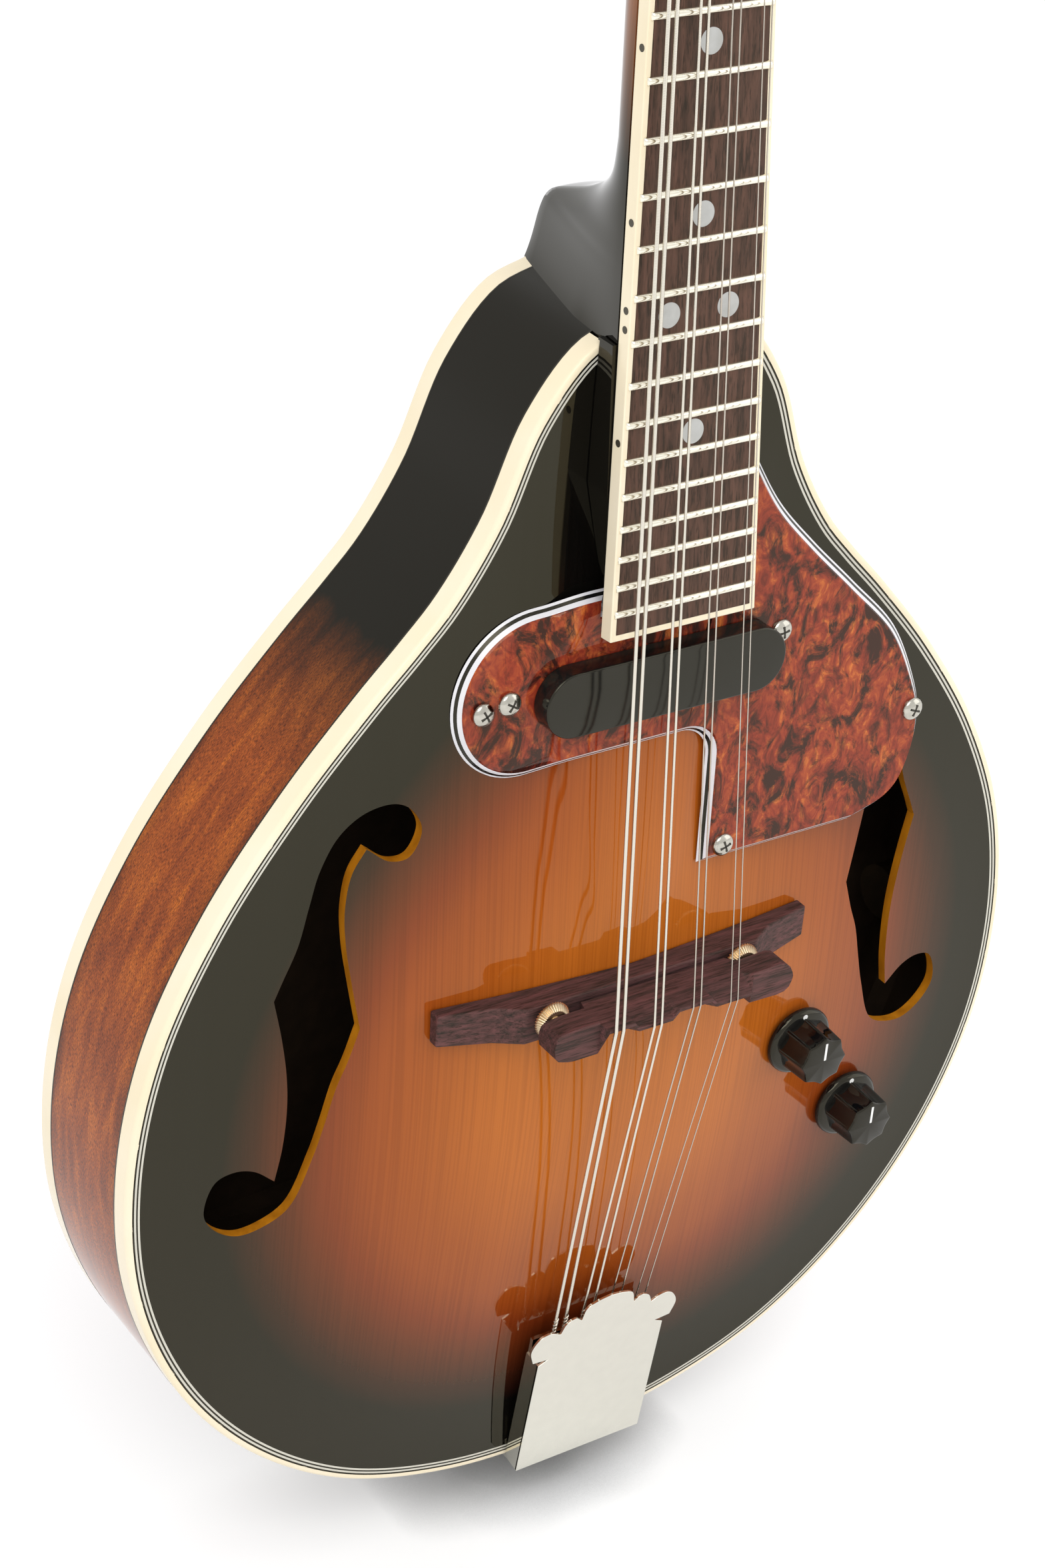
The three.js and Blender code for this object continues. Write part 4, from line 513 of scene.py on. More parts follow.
half_outline = [
    Vector((x * BODY_HALF_WIDTH, y * BODY_LENGTH - TAIL_TO_SADDLE)) for x, y in OUTLINE_shares
]
mirrored_half = [Vector((-p.x, p.y)) for p in half_outline[:0:-1]]
outline = evenly(catmull(mirrored_half + half_outline, OUTLINE_SPAN_STEPS), OUTLINE_STEPS)
fit_share = (BODY_HALF_WIDTH - PAINT) / max(p.x for p in outline)
outline = [Vector((p.x * fit_share, p.y)) for p in outline]
BOUT_CENTRE = Vector((0, half_outline[WIDEST_POINT].y))
NECK_END_Y = half_outline[-1].y


def open_outline(end_half_width):
    """The outline without the part at the neck that is nearer the centre line than this."""
    treble = [p for p in outline if p.x > -SEAM * MM and (p.y < BOUT_CENTRE.y or p.x > end_half_width)]
    after = outline[outline.index(treble[-1]) + 1]
    t = (treble[-1].x - end_half_width) / (treble[-1].x - after.x)
    side = treble + [treble[-1].lerp(after, t)]
    return [Vector((-p.x, p.y)) for p in reversed(side) if p.x > SEAM * MM] + side


turn_table = sorted(
    (math.atan2(p.x, BOUT_CENTRE.y - p.y), (p - BOUT_CENTRE).length) for p in outline if p.x >= 0)
TURNS = np.array([t for t, _ in turn_table] + [math.pi])
REACHES = np.array([r for _, r in turn_table] + [NECK_END_Y - BOUT_CENTRE.y])


def edge_share(x, y):
    """Share of the way from the bout's centre to the outline."""
    turn = np.arctan2(np.abs(x), BOUT_CENTRE.y - y)
    return np.hypot(x, y - BOUT_CENTRE.y) / np.interp(turn, TURNS, REACHES)


def arch(x, y, height):
    return height * (1 + np.cos(math.pi * np.minimum(1, edge_share(x, y) / ARCH_EDGE_share))) / 2


def top_at(x, y):
    return float(arch(x, y, TOP_ARCH))


# Materials

WARM_SHEEN = (1, 0.92, 0.68)


def material(name, colour, roughness, metallic=0.0, ior=1.45):
    made = bpy.data.materials.new(name)
    made.use_nodes = True
    shader = made.node_tree.nodes["Principled BSDF"]
    shader.inputs["Base Color"].default_value = (*colour, 1)
    shader.inputs["Roughness"].default_value = roughness
    shader.inputs["Metallic"].default_value = metallic
    shader.inputs["IOR"].default_value = ior
    if not metallic:
        shader.inputs["Specular Tint"].default_value = (*WARM_SHEEN, 1)
    return made, made.node_tree, shader


def node(tree, kind, **settings):
    made = tree.nodes.new(kind)
    for key, value in settings.items():
        setattr(made, key, value)
    return made


def stretched(tree, scale, rotation=(0, 0, 0), vector=None):
    """A vector, or else the object coordinates in metres, times a scale for each axis."""
    if vector is None:
        vector = node(tree, "ShaderNodeTexCoord").outputs["Object"]
    mapping = node(tree, "ShaderNodeMapping")
    mapping.inputs["Scale"].default_value = scale
    mapping.inputs["Rotation"].default_value = rotation
    tree.links.new(vector, mapping.inputs["Vector"])
    return mapping.outputs["Vector"]


def attribute(tree, name, output="Fac"):
    return node(tree, "ShaderNodeAttribute", attribute_name=name).outputs[output]


def noise(tree, vector, scale, detail=4, roughness=0.5, distortion=0.0):
    made = node(tree, "ShaderNodeTexNoise")
    tree.links.new(vector, made.inputs["Vector"])
    made.inputs["Scale"].default_value = scale
    made.inputs["Detail"].default_value = detail
    made.inputs["Roughness"].default_value = roughness
    made.inputs["Distortion"].default_value = distortion
    return made.outputs["Fac"]


def ramp(tree, factor, stops, interpolation="LINEAR"):
    made = node(tree, "ShaderNodeValToRGB")
    made.color_ramp.interpolation = interpolation
    elements = made.color_ramp.elements
    while len(elements) < len(stops):
        elements.new(0.5)
    for element, (position, colour) in zip(elements, stops):
        element.position = position
        element.color = (*colour, 1)
    tree.links.new(factor, made.inputs["Fac"])
    return made.outputs["Color"]


def math_node(tree, operation, a, b):
    made = node(tree, "ShaderNodeMath", operation=operation)
    for socket, value in zip(made.inputs, (a, b)):
        if isinstance(value, (int, float)):
            socket.default_value = value
        else:
            tree.links.new(value, socket)
    return made.outputs["Value"]


def mix(tree, factor, a, b, blend="MIX"):
    made = node(tree, "ShaderNodeMix", data_type="RGBA", blend_type=blend)
    for index, value in ((0, factor), (6, a), (7, b)):
        if isinstance(value, (int, float)):
            made.inputs[index].default_value = value
        elif isinstance(value, tuple):
            made.inputs[index].default_value = (*value, 1)
        else:
            tree.links.new(value, made.inputs[index])
    return made.outputs[2]


def bump(tree, shader, height, strength, depth):
    """Fine relief of a depth in millimetres."""
    made = node(tree, "ShaderNodeBump")
    made.inputs["Strength"].default_value = strength
    made.inputs["Distance"].default_value = depth * MM
    tree.links.new(height, made.inputs["Height"])
    tree.links.new(made.outputs["Normal"], shader.inputs["Normal"])


BLACK = (0.004, 0.0035, 0.003)
CREAM = (0.94, 0.84, 0.58)
PURFLING_COLOUR = (0.62, 0.60, 0.52)
LACQUER_ROUGHNESS = 0.03


def sunburst_material():
    made, tree, shader = material("sunburst_top", (0.5, 0.15, 0.02), LACQUER_ROUGHNESS)
    shader.inputs["Specular Tint"].default_value = (1, 0.91, 0.58, 1)
    grain_lines = noise(tree, stretched(tree, (1700, 30, 9)), 1, 1, 0.5)
    grain_broad = noise(tree, stretched(tree, (90, 10, 4)), 1, 2, 0.5)
    burst = ramp(tree, attribute(tree, "share"), [
        (0.0, (0.50, 0.137, 0.015)), (0.30, (0.48, 0.124, 0.012)), (0.48, (0.355, 0.076, 0.008)),
        (0.56, (0.31, 0.061, 0.008)), (0.64, (0.21, 0.035, 0.007)), (0.71, (0.118, 0.023, 0.006)),
        (0.79, (0.038, 0.010, 0.005)), (0.85, BLACK),
    ])
    lines = ramp(tree, grain_lines, [(0.34, (0.86, 0.83, 0.78)), (0.56, (1, 1, 1))])
    broad = ramp(tree, grain_broad, [(0.3, (0.96, 0.95, 0.93)), (0.7, (1.03, 1.03, 1.02))])
    wood = mix(tree, 1.0, mix(tree, 1.0, burst, lines, "MULTIPLY"), broad, "MULTIPLY")
    longest = PURFLING_ENDS[-1] * 2
    colours = (PURFLING_COLOUR, BLACK) * (len(PURFLING_ENDS) // 2)
    stops = [(0, BLACK)] + [(end / longest, colour) for end, colour in zip(PURFLING_ENDS, colours)]
    purfling = ramp(tree, math_node(tree, "DIVIDE", attribute(tree, "edge"), longest), stops, "CONSTANT")
    inner = math_node(tree, "GREATER_THAN", attribute(tree, "edge"), PURFLING_ENDS[-1])
    tree.links.new(mix(tree, inner, purfling, wood), shader.inputs["Base Color"])
    return made


def cut_edge_material():
    made, tree, shader = material("cut_edge", (0.5, 0.24, 0.01), 0.4)
    fibres = noise(tree, stretched(tree, (300, 300, 60)), 1, 5)
    colour = ramp(tree, fibres, [(0.3, (0.34, 0.115, 0.004)), (0.7, (0.55, 0.205, 0.008))])
    tree.links.new(colour, shader.inputs["Base Color"])
    bump(tree, shader, fibres, 0.4, FIBRE_DEPTH)
    return made


def mahogany_material(name, along_rim):
    """Ribbon-grained mahogany, stained dark toward its edges and toward the neck."""
    made, tree, shader = material(name, (0.3, 0.1, 0.04), 0.06)
    shader.inputs["Specular IOR Level"].default_value = 0.25
    if along_rim:
        vector = stretched(tree, (0.3, 1.5, 1), (0, 0, 0.02), attribute(tree, "flow", "Vector"))
    else:
        vector = stretched(tree, (900, 40, 50))
    pores = noise(tree, vector, 3.4, 5, 0.72)
    streaks = noise(tree, vector, 0.16, 4, 0.55, 0.6)
    base = ramp(tree, streaks, [
        (0.34, (0.19, 0.037, 0.009)), (0.5, (0.27, 0.057, 0.010)), (0.66, (0.37, 0.090, 0.012)),
    ])
    fine = ramp(tree, pores, [(0.40, (0.30, 0.23, 0.22)), (0.49, (0.95, 0.95, 0.95)), (0.58, (1.6, 1.6, 1.3))])
    wood = mix(tree, 1.0, base, fine, "MULTIPLY")
    # The stain's edge wanders with the grain
    stain = attribute(tree, "stain")
    midway = math_node(tree, "MULTIPLY", stain, math_node(tree, "SUBTRACT", 1, stain))
    reach = math_node(tree, "MULTIPLY", midway, 2)
    wander = math_node(tree, "MULTIPLY", math_node(tree, "SUBTRACT", 0.5, streaks), reach)
    settled = ramp(tree, math_node(tree, "ADD", stain, wander), [(0, (0, 0, 0)), (0.9, (1, 1, 1))])
    dark = mix(tree, settled, wood, BLACK)
    tree.links.new(dark, shader.inputs["Base Color"])
    return made


def rosewood_material(name, dark, light, roughness, along, across):
    """Dry, open-pored rosewood with streaks along one axis."""
    made, tree, shader = material(name, dark, roughness)
    streaks = noise(tree, stretched(tree, across), 1, 5, 0.6)
    pores = noise(tree, stretched(tree, along), 1, 3, 0.7)
    colour = ramp(tree, streaks, [(0.32, dark), (0.66, light)])
    fine = ramp(tree, pores, [(0.38, (0.35, 0.33, 0.33)), (0.5, (1, 1, 1))])
    tree.links.new(mix(tree, 1.0, colour, fine, "MULTIPLY"), shader.inputs["Base Color"])
    bump(tree, shader, pores, 0.35, PORE_DEPTH)
    return made


def tortoise_material():
    """Mottled celluloid: dark feathery patches and orange flecks in a red-brown ground."""
    made, tree, shader = material("tortoise", (0.3, 0.03, 0.015), 0.03, ior=1.4)
    vector = stretched(tree, (1, 1, 0.6), (0, 0.7, 0))
    patches = noise(tree, vector, 125, 7, 0.7, 1.1)
    flecks = noise(tree, vector, 250, 6, 0.66, 1.2)
    ground = ramp(tree, flecks, [(0.34, (0.14, 0.017, 0.010)), (0.48, (0.27, 0.034, 0.016)),
                                 (0.58, (0.38, 0.065, 0.020)), (0.70, (0.62, 0.17, 0.034))])
    dark = ramp(tree, patches, [(0.41, (1, 1, 1)), (0.53, (0, 0, 0))])
    tree.links.new(mix(tree, dark, ground, (0.034, 0.009, 0.007)), shader.inputs["Base Color"])
    return made


def lacquer_material():
    """Black lacquer that thins to brown up the neck."""
    made, tree, shader = material("black_lacquer", BLACK, LACQUER_ROUGHNESS)
    height = node(tree, "ShaderNodeSeparateXYZ")
    place = node(tree, "ShaderNodeTexCoord")
    tree.links.new(place.outputs["Object"], height.inputs["Vector"])
    grain = noise(tree, stretched(tree, (500, 500, 12)), 1, 4)
    low, high = (NECK_END_Y + TAIL_HEIGHT) * MM, (SCALE_LENGTH + TAIL_HEIGHT) * MM
    share = math_node(tree, "DIVIDE", math_node(tree, "SUBTRACT", height.outputs["Z"], low), high - low)
    brown = ramp(tree, grain, [(0.35, (0.16, 0.05, 0.016)), (0.65, (0.26, 0.085, 0.026))])
    fade = ramp(tree, share, [(0.22, (0, 0, 0)), (0.42, (1, 1, 1)), (0.88, (1, 1, 1)), (0.98, (0, 0, 0))])
    tree.links.new(mix(tree, fade, BLACK, brown), shader.inputs["Base Color"])
    return made


def plain_material(name, colour, roughness, metallic=0.0, speckle=0.04, scale=300, tint=(1, 1, 1)):
    """A colour with a slight cloudiness, for moulded and plated pieces."""
    made, tree, shader = material(name, colour, roughness, metallic)
    clouds = noise(tree, stretched(tree, (1, 1, 1)), scale, 3)
    low = tuple(c * (1 - speckle) for c in colour)
    high = tuple(min(1, c * (1 + speckle) * t) for c, t in zip(colour, tint))
    tree.links.new(ramp(tree, clouds, [(0.3, low), (0.7, high)]), shader.inputs["Base Color"])
    return made


def wound_material():
    """Wound string: fine ridges round the wire."""
    made, tree, shader = material("wound_wire", (0.70, 0.66, 0.57), 0.22, 1.0)
    wave = node(tree, "ShaderNodeTexWave", bands_direction="Z")
    wave.inputs["Scale"].default_value = 0.9
    tree.links.new(stretched(tree, (1000, 1000, 1000)), wave.inputs["Vector"])
    bump(tree, shader, wave.outputs["Fac"], 0.3, WINDING_DEPTH)
    return made


def cream_material():
    made, tree, shader = material("cream_binding", CREAM, 0.16)
    clouds = noise(tree, stretched(tree, (1, 1, 1)), 30, 4)
    colour = ramp(tree, clouds, [(0.35, (0.87, 0.76, 0.54)), (0.65, (0.91, 0.81, 0.62))])
    tree.links.new(colour, shader.inputs["Base Color"])
    return made


MATERIALS = {
    "top": sunburst_material(),
    "cut": cut_edge_material(),
    "rim": mahogany_material("rim_mahogany", True),
    "back": mahogany_material("back_mahogany", False),
    # Near black inside the body, on the plates' inner faces, linings, blocks and braces: painted shade, as the
    # bare wood is pale
    "inside": plain_material("inner_wood", (0.022, 0.011, 0.006), 0.8, speckle=0.3, scale=200),
    "lacquer": lacquer_material(),
    "cream": cream_material(),
    "board": rosewood_material("board_rosewood", (0.038, 0.017, 0.013), (0.108, 0.049, 0.035), 0.5,
                               (1500, 1500, 45), (700, 700, 8)),
    "bridge": rosewood_material("bridge_rosewood", (0.022, 0.013, 0.013), (0.125, 0.046, 0.048), 0.7,
                                (150, 2200, 2200), (45, 700, 700)),
    "nickel": plain_material("nickel_plate", (0.71, 0.695, 0.62), 0.05, 1.0, speckle=0.015),
    "fret": plain_material("fret_nickel", (0.88, 0.83, 0.70), 0.16, 1.0, speckle=0.03, scale=900),
    "brass": plain_material("knurled_brass", (0.64, 0.50, 0.33), 0.3, 1.0, speckle=0.08),
    # The screws' nickel is darker than the plate's: painted shade for the dim surroundings its domes mirror
    "screw": plain_material("screw_nickel_painted_dim", (0.50, 0.48, 0.42), 0.16, 1.0, speckle=0.1, scale=700),
    "wire": plain_material("plain_wire", (0.52, 0.47, 0.40), 0.2, 1.0, speckle=0.02),
    "wound": wound_material(),
    "tortoise": tortoise_material(),
    "white_ply": plain_material("white_ply", (0.78, 0.77, 0.80), 0.2, speckle=0.03),
    "black_ply": plain_material("black_ply", (0.006, 0.006, 0.006), 0.2, speckle=0.1),
    "plastic": plain_material("black_plastic", (0.004, 0.004, 0.0045), 0.04, speckle=0.1),
    "pickup": plain_material("pickup_plastic", (0.006, 0.0065, 0.0065), 0.11, speckle=0.15, scale=900),
    "pearl": plain_material("pearl_dots", (0.47, 0.47, 0.45), 0.2, speckle=0.12, scale=180,
                            tint=(1, 1.01, 1.03)),
    "side_dot": plain_material("side_dots", (0.045, 0.038, 0.028), 0.3),
    "bone": plain_material("bone", (0.80, 0.74, 0.58), 0.3, speckle=0.05, scale=150),
    "button": plain_material("button_pearl", (0.82, 0.78, 0.66), 0.12, speckle=0.12, scale=120),
    "paint": plain_material("white_paint", (0.85, 0.85, 0.83), 0.4, speckle=0.03),
    # Dark crosses on the screw heads: painted shade in their recesses
    "blank": plain_material("painted_recess_shade", (0.03, 0.028, 0.025), 0.5),
}


# Meshes

def add_mesh(name, points, faces, finish, space=BASE):
    """An object from millimetre points in one of the frames, with its faces turned outward."""
    mesh = bpy.data.meshes.new(name)
    place = PLACE @ space
    mesh.from_pydata([place @ Vector(p) for p in points], [], faces)
    work = bmesh.new()
    work.from_mesh(mesh)
    bmesh.ops.recalc_face_normals(work, faces=work.faces)
    work.to_mesh(mesh)
    work.free()
    mesh.materials.append(MATERIALS[finish])
    made = bpy.data.objects.new(name, mesh)
    bpy.context.scene.collection.objects.link(made)
    return made


def shade(mesh, sharp=35):
    mesh.shade_smooth()
    mesh.set_sharp_from_angle(angle=math.radians(sharp))


def piece(name, points, faces, finish, space=BASE, body="instrument", sharp=35, bevel=0, stands_for=()):
    """A visible piece: its shape and finish, the body that it rides on and the CAD nodes it stands for."""
    made = add_mesh(name, points, faces, finish, space)
    shade(made.data, sharp)
    if bevel:
        round_edges(made, bevel)
    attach(made, body)
    if stands_for:
        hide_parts(*stands_for)
    return made


def round_edges(made, width, segments=3):
    rounding = made.modifiers.new("edges", "BEVEL")
    rounding.width = width * MM
    rounding.segments = segments
    rounding.limit_method = "ANGLE"
    rounding.angle_limit = math.radians(30)
    rounding.harden_normals = True
    rounding.use_clamp_overlap = True


def loft(rings, closed=False):
    """Points and faces of a solid through rings of points."""
    count = len(rings[0])
    faces = []
    spans = len(rings) if closed else len(rings) - 1
    for i in range(spans):
        near, far = i * count, (i + 1) % len(rings) * count
        faces += [(near + j, near + (j + 1) % count, far + (j + 1) % count, far + j) for j in range(count)]
    if not closed:
        faces.append(tuple(range(count))[::-1])
        faces.append(tuple(range((len(rings) - 1) * count, len(rings) * count)))
    return [p for ring in rings for p in ring], faces


def around(count, reach=2 * math.pi):
    """Equally spaced angles from zero, without the last one."""
    return [reach * i / count for i in range(count)]


def prism(points, low, high):
    return loft([[(p[0], p[1], z) for p in points] for z in (low, high)])


def revolve(profile, sides, wobble=None):
    """A turned piece about Z; its profile runs from the axis back to the axis as radius and height."""
    rings = []
    for radius, z in profile:
        ring = []
        for angle in around(sides):
            share = wobble(angle, z) if wobble else 1
            ring.append((radius * share * math.sin(angle), radius * share * math.cos(angle), z))
        rings.append(ring)
    return loft(rings)


def turned(edge, sides, wobble=None):
    """A solid turned piece: its profile without the points on the axis."""
    return revolve([(AXIS, edge[0][1]), *edge, (AXIS, edge[-1][1])], sides, wobble)


def disc(radius, low, high, sides):
    return turned([(radius, low), (radius, high)], sides)


def revolve_ring(profile, sides):
    """A turned ring about Z: its profile closes on itself away from the axis."""
    return loft([[(radius * math.sin(angle), radius * math.cos(angle), z) for radius, z in profile]
                 for angle in around(sides)], True)


def tube(path, radius, sides):
    rings = []
    for i, p in enumerate(path):
        along = (path[min(i + 1, len(path) - 1)] - path[max(i - 1, 0)]).normalized()
        side = Vector((1, 0, 0)) - along * along.x
        if side.length < 0.5:
            side = Vector((0, 0, 1)) - along * along.z
        side.normalize()
        up = along.cross(side)
        rings.append([p + side * radius * math.cos(a) + up * radius * math.sin(a) for a in around(sides)])
    return loft(rings)


def moved(shape, x, y, z):
    points, faces = shape
    return [(p[0] + x, p[1] + y, p[2] + z) for p in points], faces


def together(*shapes):
    points, faces = [], []
    for more_points, more_faces in shapes:
        start = len(points)
        points += list(more_points)
        faces += [tuple(i + start for i in face) for face in more_faces]
    return points, faces


def dress(name, finish, bevel):
    """A CAD node keeps its shape and takes a finish."""
    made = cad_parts[name]
    made.data.materials.clear()
    made.data.materials.append(MATERIALS[finish])
    shade(made.data, 30)
    if bevel:
        round_edges(made, bevel, 2)


def set_values(mesh, name, values):
    """Stores one number for each vertex, for a material to read."""
    layer = mesh.attributes.new(name, "FLOAT", "POINT")
    layer.data.foreach_set("value", np.asarray(values, np.float32))


def set_vectors(mesh, name, values):
    layer = mesh.attributes.new(name, "FLOAT_VECTOR", "POINT")
    layer.data.foreach_set("vector", np.asarray(values, np.float32).ravel())


def lying_points(mesh):
    """The mesh's vertices in lying millimetres."""
    flat = np.empty(len(mesh.vertices) * 3)
    mesh.vertices.foreach_get("co", flat)
    world = flat.reshape(-1, 3)
    x, y, z = world.T / MM
    return np.column_stack([x, z - TAIL_HEIGHT, -y - RIM_DEPTH / 2])


def edge_distance(points):
    """Distance of each point from the body's outline, in plan."""
    ring = np.array([list(p) for p in outline])
    starts, ends = ring, np.roll(ring, -1, axis=0)
    best = np.full(len(points), 1e9)
    for a, b in zip(starts, ends):
        along = b - a
        t = np.clip(((points - a) @ along) / max(along @ along, 1e-9), 0, 1)
        best = np.minimum(best, np.linalg.norm(points - (a + t[:, None] * along), axis=1))
    return best


# Body

EDGE_RINGS = [BINDING_WIDTH, *PURFLING_ENDS, *PLATE_RING_ENDS]


def plate(upper, lower):
    """Points and faces of a plate inside the binding, between two surfaces."""
    rings = [offset(outline, inward) for inward in EDGE_RINGS]
    last = rings[-1]
    for i in range(1, INNER_RING_COUNT):
        share = 1 - i / INNER_RING_COUNT
        rings.append([BOUT_CENTRE.lerp(p, share) for p in last])
    rings.reverse()
    points, faces = [], []
    count = len(outline)
    for side, height in enumerate((upper, lower)):
        start = len(points)
        points.append((BOUT_CENTRE.x, BOUT_CENTRE.y, float(height(BOUT_CENTRE.x, BOUT_CENTRE.y))))
        flat = np.array([list(p) for ring in rings for p in ring])
        heights = height(flat[:, 0], flat[:, 1])
        points += [(x, y, float(z)) for (x, y), z in zip(flat, heights)]
        for j in range(count):
            k = (j + 1) % count
            faces.append((start, start + 1 + j, start + 1 + k))
            for ring in range(1, len(rings)):
                a, b = start + 1 + (ring - 1) * count, start + 1 + ring * count
                faces.append((a + j, b + j, b + k, a + k))
    edge_top = 1 + (len(rings) - 1) * count
    edge_low = edge_top + 1 + len(rings) * count
    for j in range(count):
        k = (j + 1) % count
        faces.append((edge_top + j, edge_low + j, edge_low + k, edge_top + k))
    return points, faces


def f_hole_outline(side):
    smooth = cornered([Vector(p) for p in F_HOLE_shares], F_HOLE_CORNERS, F_HOLE_SPAN_STEPS, True)
    return [(side * (F_HOLE_X + p.x * F_HOLE_LENGTH), F_HOLE_Y + p.y * F_HOLE_LENGTH) for p in smooth]


def line_inside(made, is_inner):
    """Gives the faces that look into the body the near-black inner colour, a painted shade: the bare wood inside
    is pale.
    """
    mesh = made.data
    mesh.materials.append(MATERIALS["inside"])
    last = len(mesh.materials) - 1
    for face in mesh.polygons:
        if is_inner(face):
            face.material_index = last


def settle_normals(made):
    """Gives the soundboard's outer surface the arch's own normals, so that it mirrors without ripples."""
    mesh = made.data
    x, y = lying_points(mesh)[:, :2].T
    slope_x, slope_y = [
        (arch(x + dx, y + dy, TOP_ARCH) - arch(x - dx, y - dy, TOP_ARCH)) / (2 * SLOPE_STEP)
        for dx, dy in ((SLOPE_STEP, 0), (0, SLOPE_STEP))]
    exact = np.column_stack([-slope_x, -np.ones(len(x)), -slope_y])
    exact /= np.linalg.norm(exact, axis=1)[:, None]
    corner_normals = [Vector(n.vector) for n in mesh.corner_normals]
    for face in mesh.polygons:
        if face.normal.y < -0.8:
            for corner in face.loop_indices:
                corner_normals[corner] = Vector(exact[mesh.loops[corner].vertex_index])
    mesh.normals_split_custom_set(corner_normals)


def carve(made, tools):
    """Cuts the tools out of the piece and deletes them."""
    for tool in tools:
        cut = made.modifiers.new("cut", "BOOLEAN")
        cut.object = tool
        cut.operation = "DIFFERENCE"
        cut.solver = "EXACT"
        cut.material_mode = "TRANSFER"
    graph = bpy.context.evaluated_depsgraph_get()
    result = bpy.data.meshes.new_from_object(made.evaluated_get(graph))
    made.modifiers.clear()
    made.data = result
    for tool in tools:
        bpy.data.objects.remove(tool)


def make_soundboard():
    shape = plate(lambda x, y: arch(x, y, TOP_ARCH), lambda x, y: arch(x, y, TOP_ARCH) - PLATE_AT_HOLES)
    made = piece("soundboard_plate", *shape, "top", stands_for=["soundboard"])
    carve(made, [add_mesh("f_hole_tool", *prism(f_hole_outline(side), -2 * PLATE_THICKNESS, 2 * TOP_ARCH), "cut")
                 for side in (-1, 1)])
    places = lying_points(made.data)
    near_neck = BURST_AT_NECK_share * np.clip((places[:, 1] - BURST_NECK_START) / BURST_NECK_FADE, 0, 1)
    set_values(made.data, "share", edge_share(places[:, 0] - BURST_SHIFT, places[:, 1]) + near_neck)
    set_values(made.data, "edge", edge_distance(places[:, :2]))
    shade(made.data)
    settle_normals(made)
    line_inside(made, lambda face: face.normal.y > 0.5)


def make_back():
    points, faces = plate(lambda x, y: -RIM_DEPTH - arch(x, y, BACK_ARCH) + PLATE_THICKNESS,
                          lambda x, y: -RIM_DEPTH - arch(x, y, BACK_ARCH))
    made = piece("back_plate_wood", points, faces, "back", stands_for=["back_plate"])
    places = lying_points(made.data)
    share = edge_share(places[:, 0], places[:, 1])
    set_values(made.data, "stain", np.clip((share - STAIN_BACK_START_share) / STAIN_BACK_FADE_share, 0, 1))
    line_inside(made, lambda face: face.normal.y < -0.5)


def band(path, section, closed):
    rings = []
    for i, p in enumerate(path):
        direction = outward_at(path, i, closed)
        rings.append([(p.x - direction.x * inward, p.y - direction.y * inward, z) for inward, z in section])
    return loft(rings, closed)


def rounded_binding(edge, sign):
    """Section of a binding strip with its outer corner rounded."""
    arc = [(BINDING_ROUNDING * (1 - math.sin(a)), edge - sign * BINDING_ROUNDING * (1 - math.cos(a)))
           for a in (math.pi / 2 * (1 - i / BINDING_ARC_STEPS) for i in range(BINDING_ARC_STEPS + 1))]
    inner = BINDING_WIDTH + SEAM / 2
    return [(0, edge - sign * BINDING_HEIGHT), *arc, (inner, edge), (inner, edge - sign * BINDING_HEIGHT)]


def make_rim():
    ledge = BINDING_WIDTH + SEAM
    under = -PLATE_THICKNESS - SEAM
    half = [(0, -BINDING_HEIGHT), (ledge, -BINDING_HEIGHT), (ledge, under), (LINING_WIDTH, under),
            (LINING_WIDTH, under - LINING_HEIGHT), (RIM_THICKNESS, under - LINING_HEIGHT - LINING_TAPER)]
    wall = [(0, -BINDING_HEIGHT - (RIM_DEPTH - 2 * BINDING_HEIGHT) * i / RIM_WALL_STEPS)
            for i in range(RIM_WALL_STEPS - 1, 0, -1)]
    section = half + [(inward, -RIM_DEPTH - z) for inward, z in reversed(half)] + wall
    made = piece("rim_wood", *band(outline, section, True), "rim", stands_for=["rim"])
    line_inside(made, lambda face: 0 < face.index % len(section) < len(section) - len(wall) - 1)
    places = lying_points(made.data)
    ring_length = np.concatenate([[0], np.cumsum([(b - a).length for a, b in zip(outline, outline[1:])])])
    along = np.repeat(ring_length, len(section))
    set_vectors(made.data, "flow", np.column_stack([along, places[:, 2], np.zeros(len(along))]))
    depth = np.minimum(-places[:, 2], RIM_DEPTH + places[:, 2]) - BINDING_HEIGHT
    near_edges = np.clip(1 - depth / STAIN_EDGE_FADE, 0, 1) * STAIN_EDGE_share
    near_neck = np.clip((places[:, 1] - STAIN_NECK_START) / STAIN_NECK_FADE, 0, 1)
    near_tail = np.clip((STAIN_TAIL_START - places[:, 1]) / STAIN_TAIL_FADE, 0, 1) * STAIN_TAIL_share
    set_values(made.data, "stain", np.maximum.reduce([near_edges, near_neck, near_tail]))
    for name, z in (("top", -BINDING_HEIGHT), ("back", -RIM_DEPTH + BINDING_HEIGHT)):
        low, high = z - RIM_LINE_WIDTH / 2, z + RIM_LINE_WIDTH / 2
        line = [(-PAINT / 2, low), (-PAINT / 2, high), (PAINT, high), (PAINT, low)]
        piece(f"rim_line_{name}", *band(outline, line, True), "black_ply")


def make_bindings():
    for side, end, edge, sign in (("top", BINDING_END_X, 0, 1),
                                  ("back", HEEL_CAP_HALF_WIDTH + 2 * SEAM, -RIM_DEPTH, -1)):
        strip = band(open_outline(end), rounded_binding(edge, sign), False)
        piece(f"{side}_binding_strip", *strip, "cream", stands_for=[f"{side}_binding"])


# Fingerboard

def fret_half(y):
    return FRET_HALF_AT_SADDLE - FRET_TAPER_share * y


def board_half(y):
    return fret_half(y) + BOARD_SIDE_MARGIN


BOARD_BOTTOM = -FRET_HEIGHT - BOARD_THICKNESS
fret_places = [SCALE_LENGTH * 2 ** (-i / OCTAVE_FRET) for i in range(FRET_COUNT + 1)]


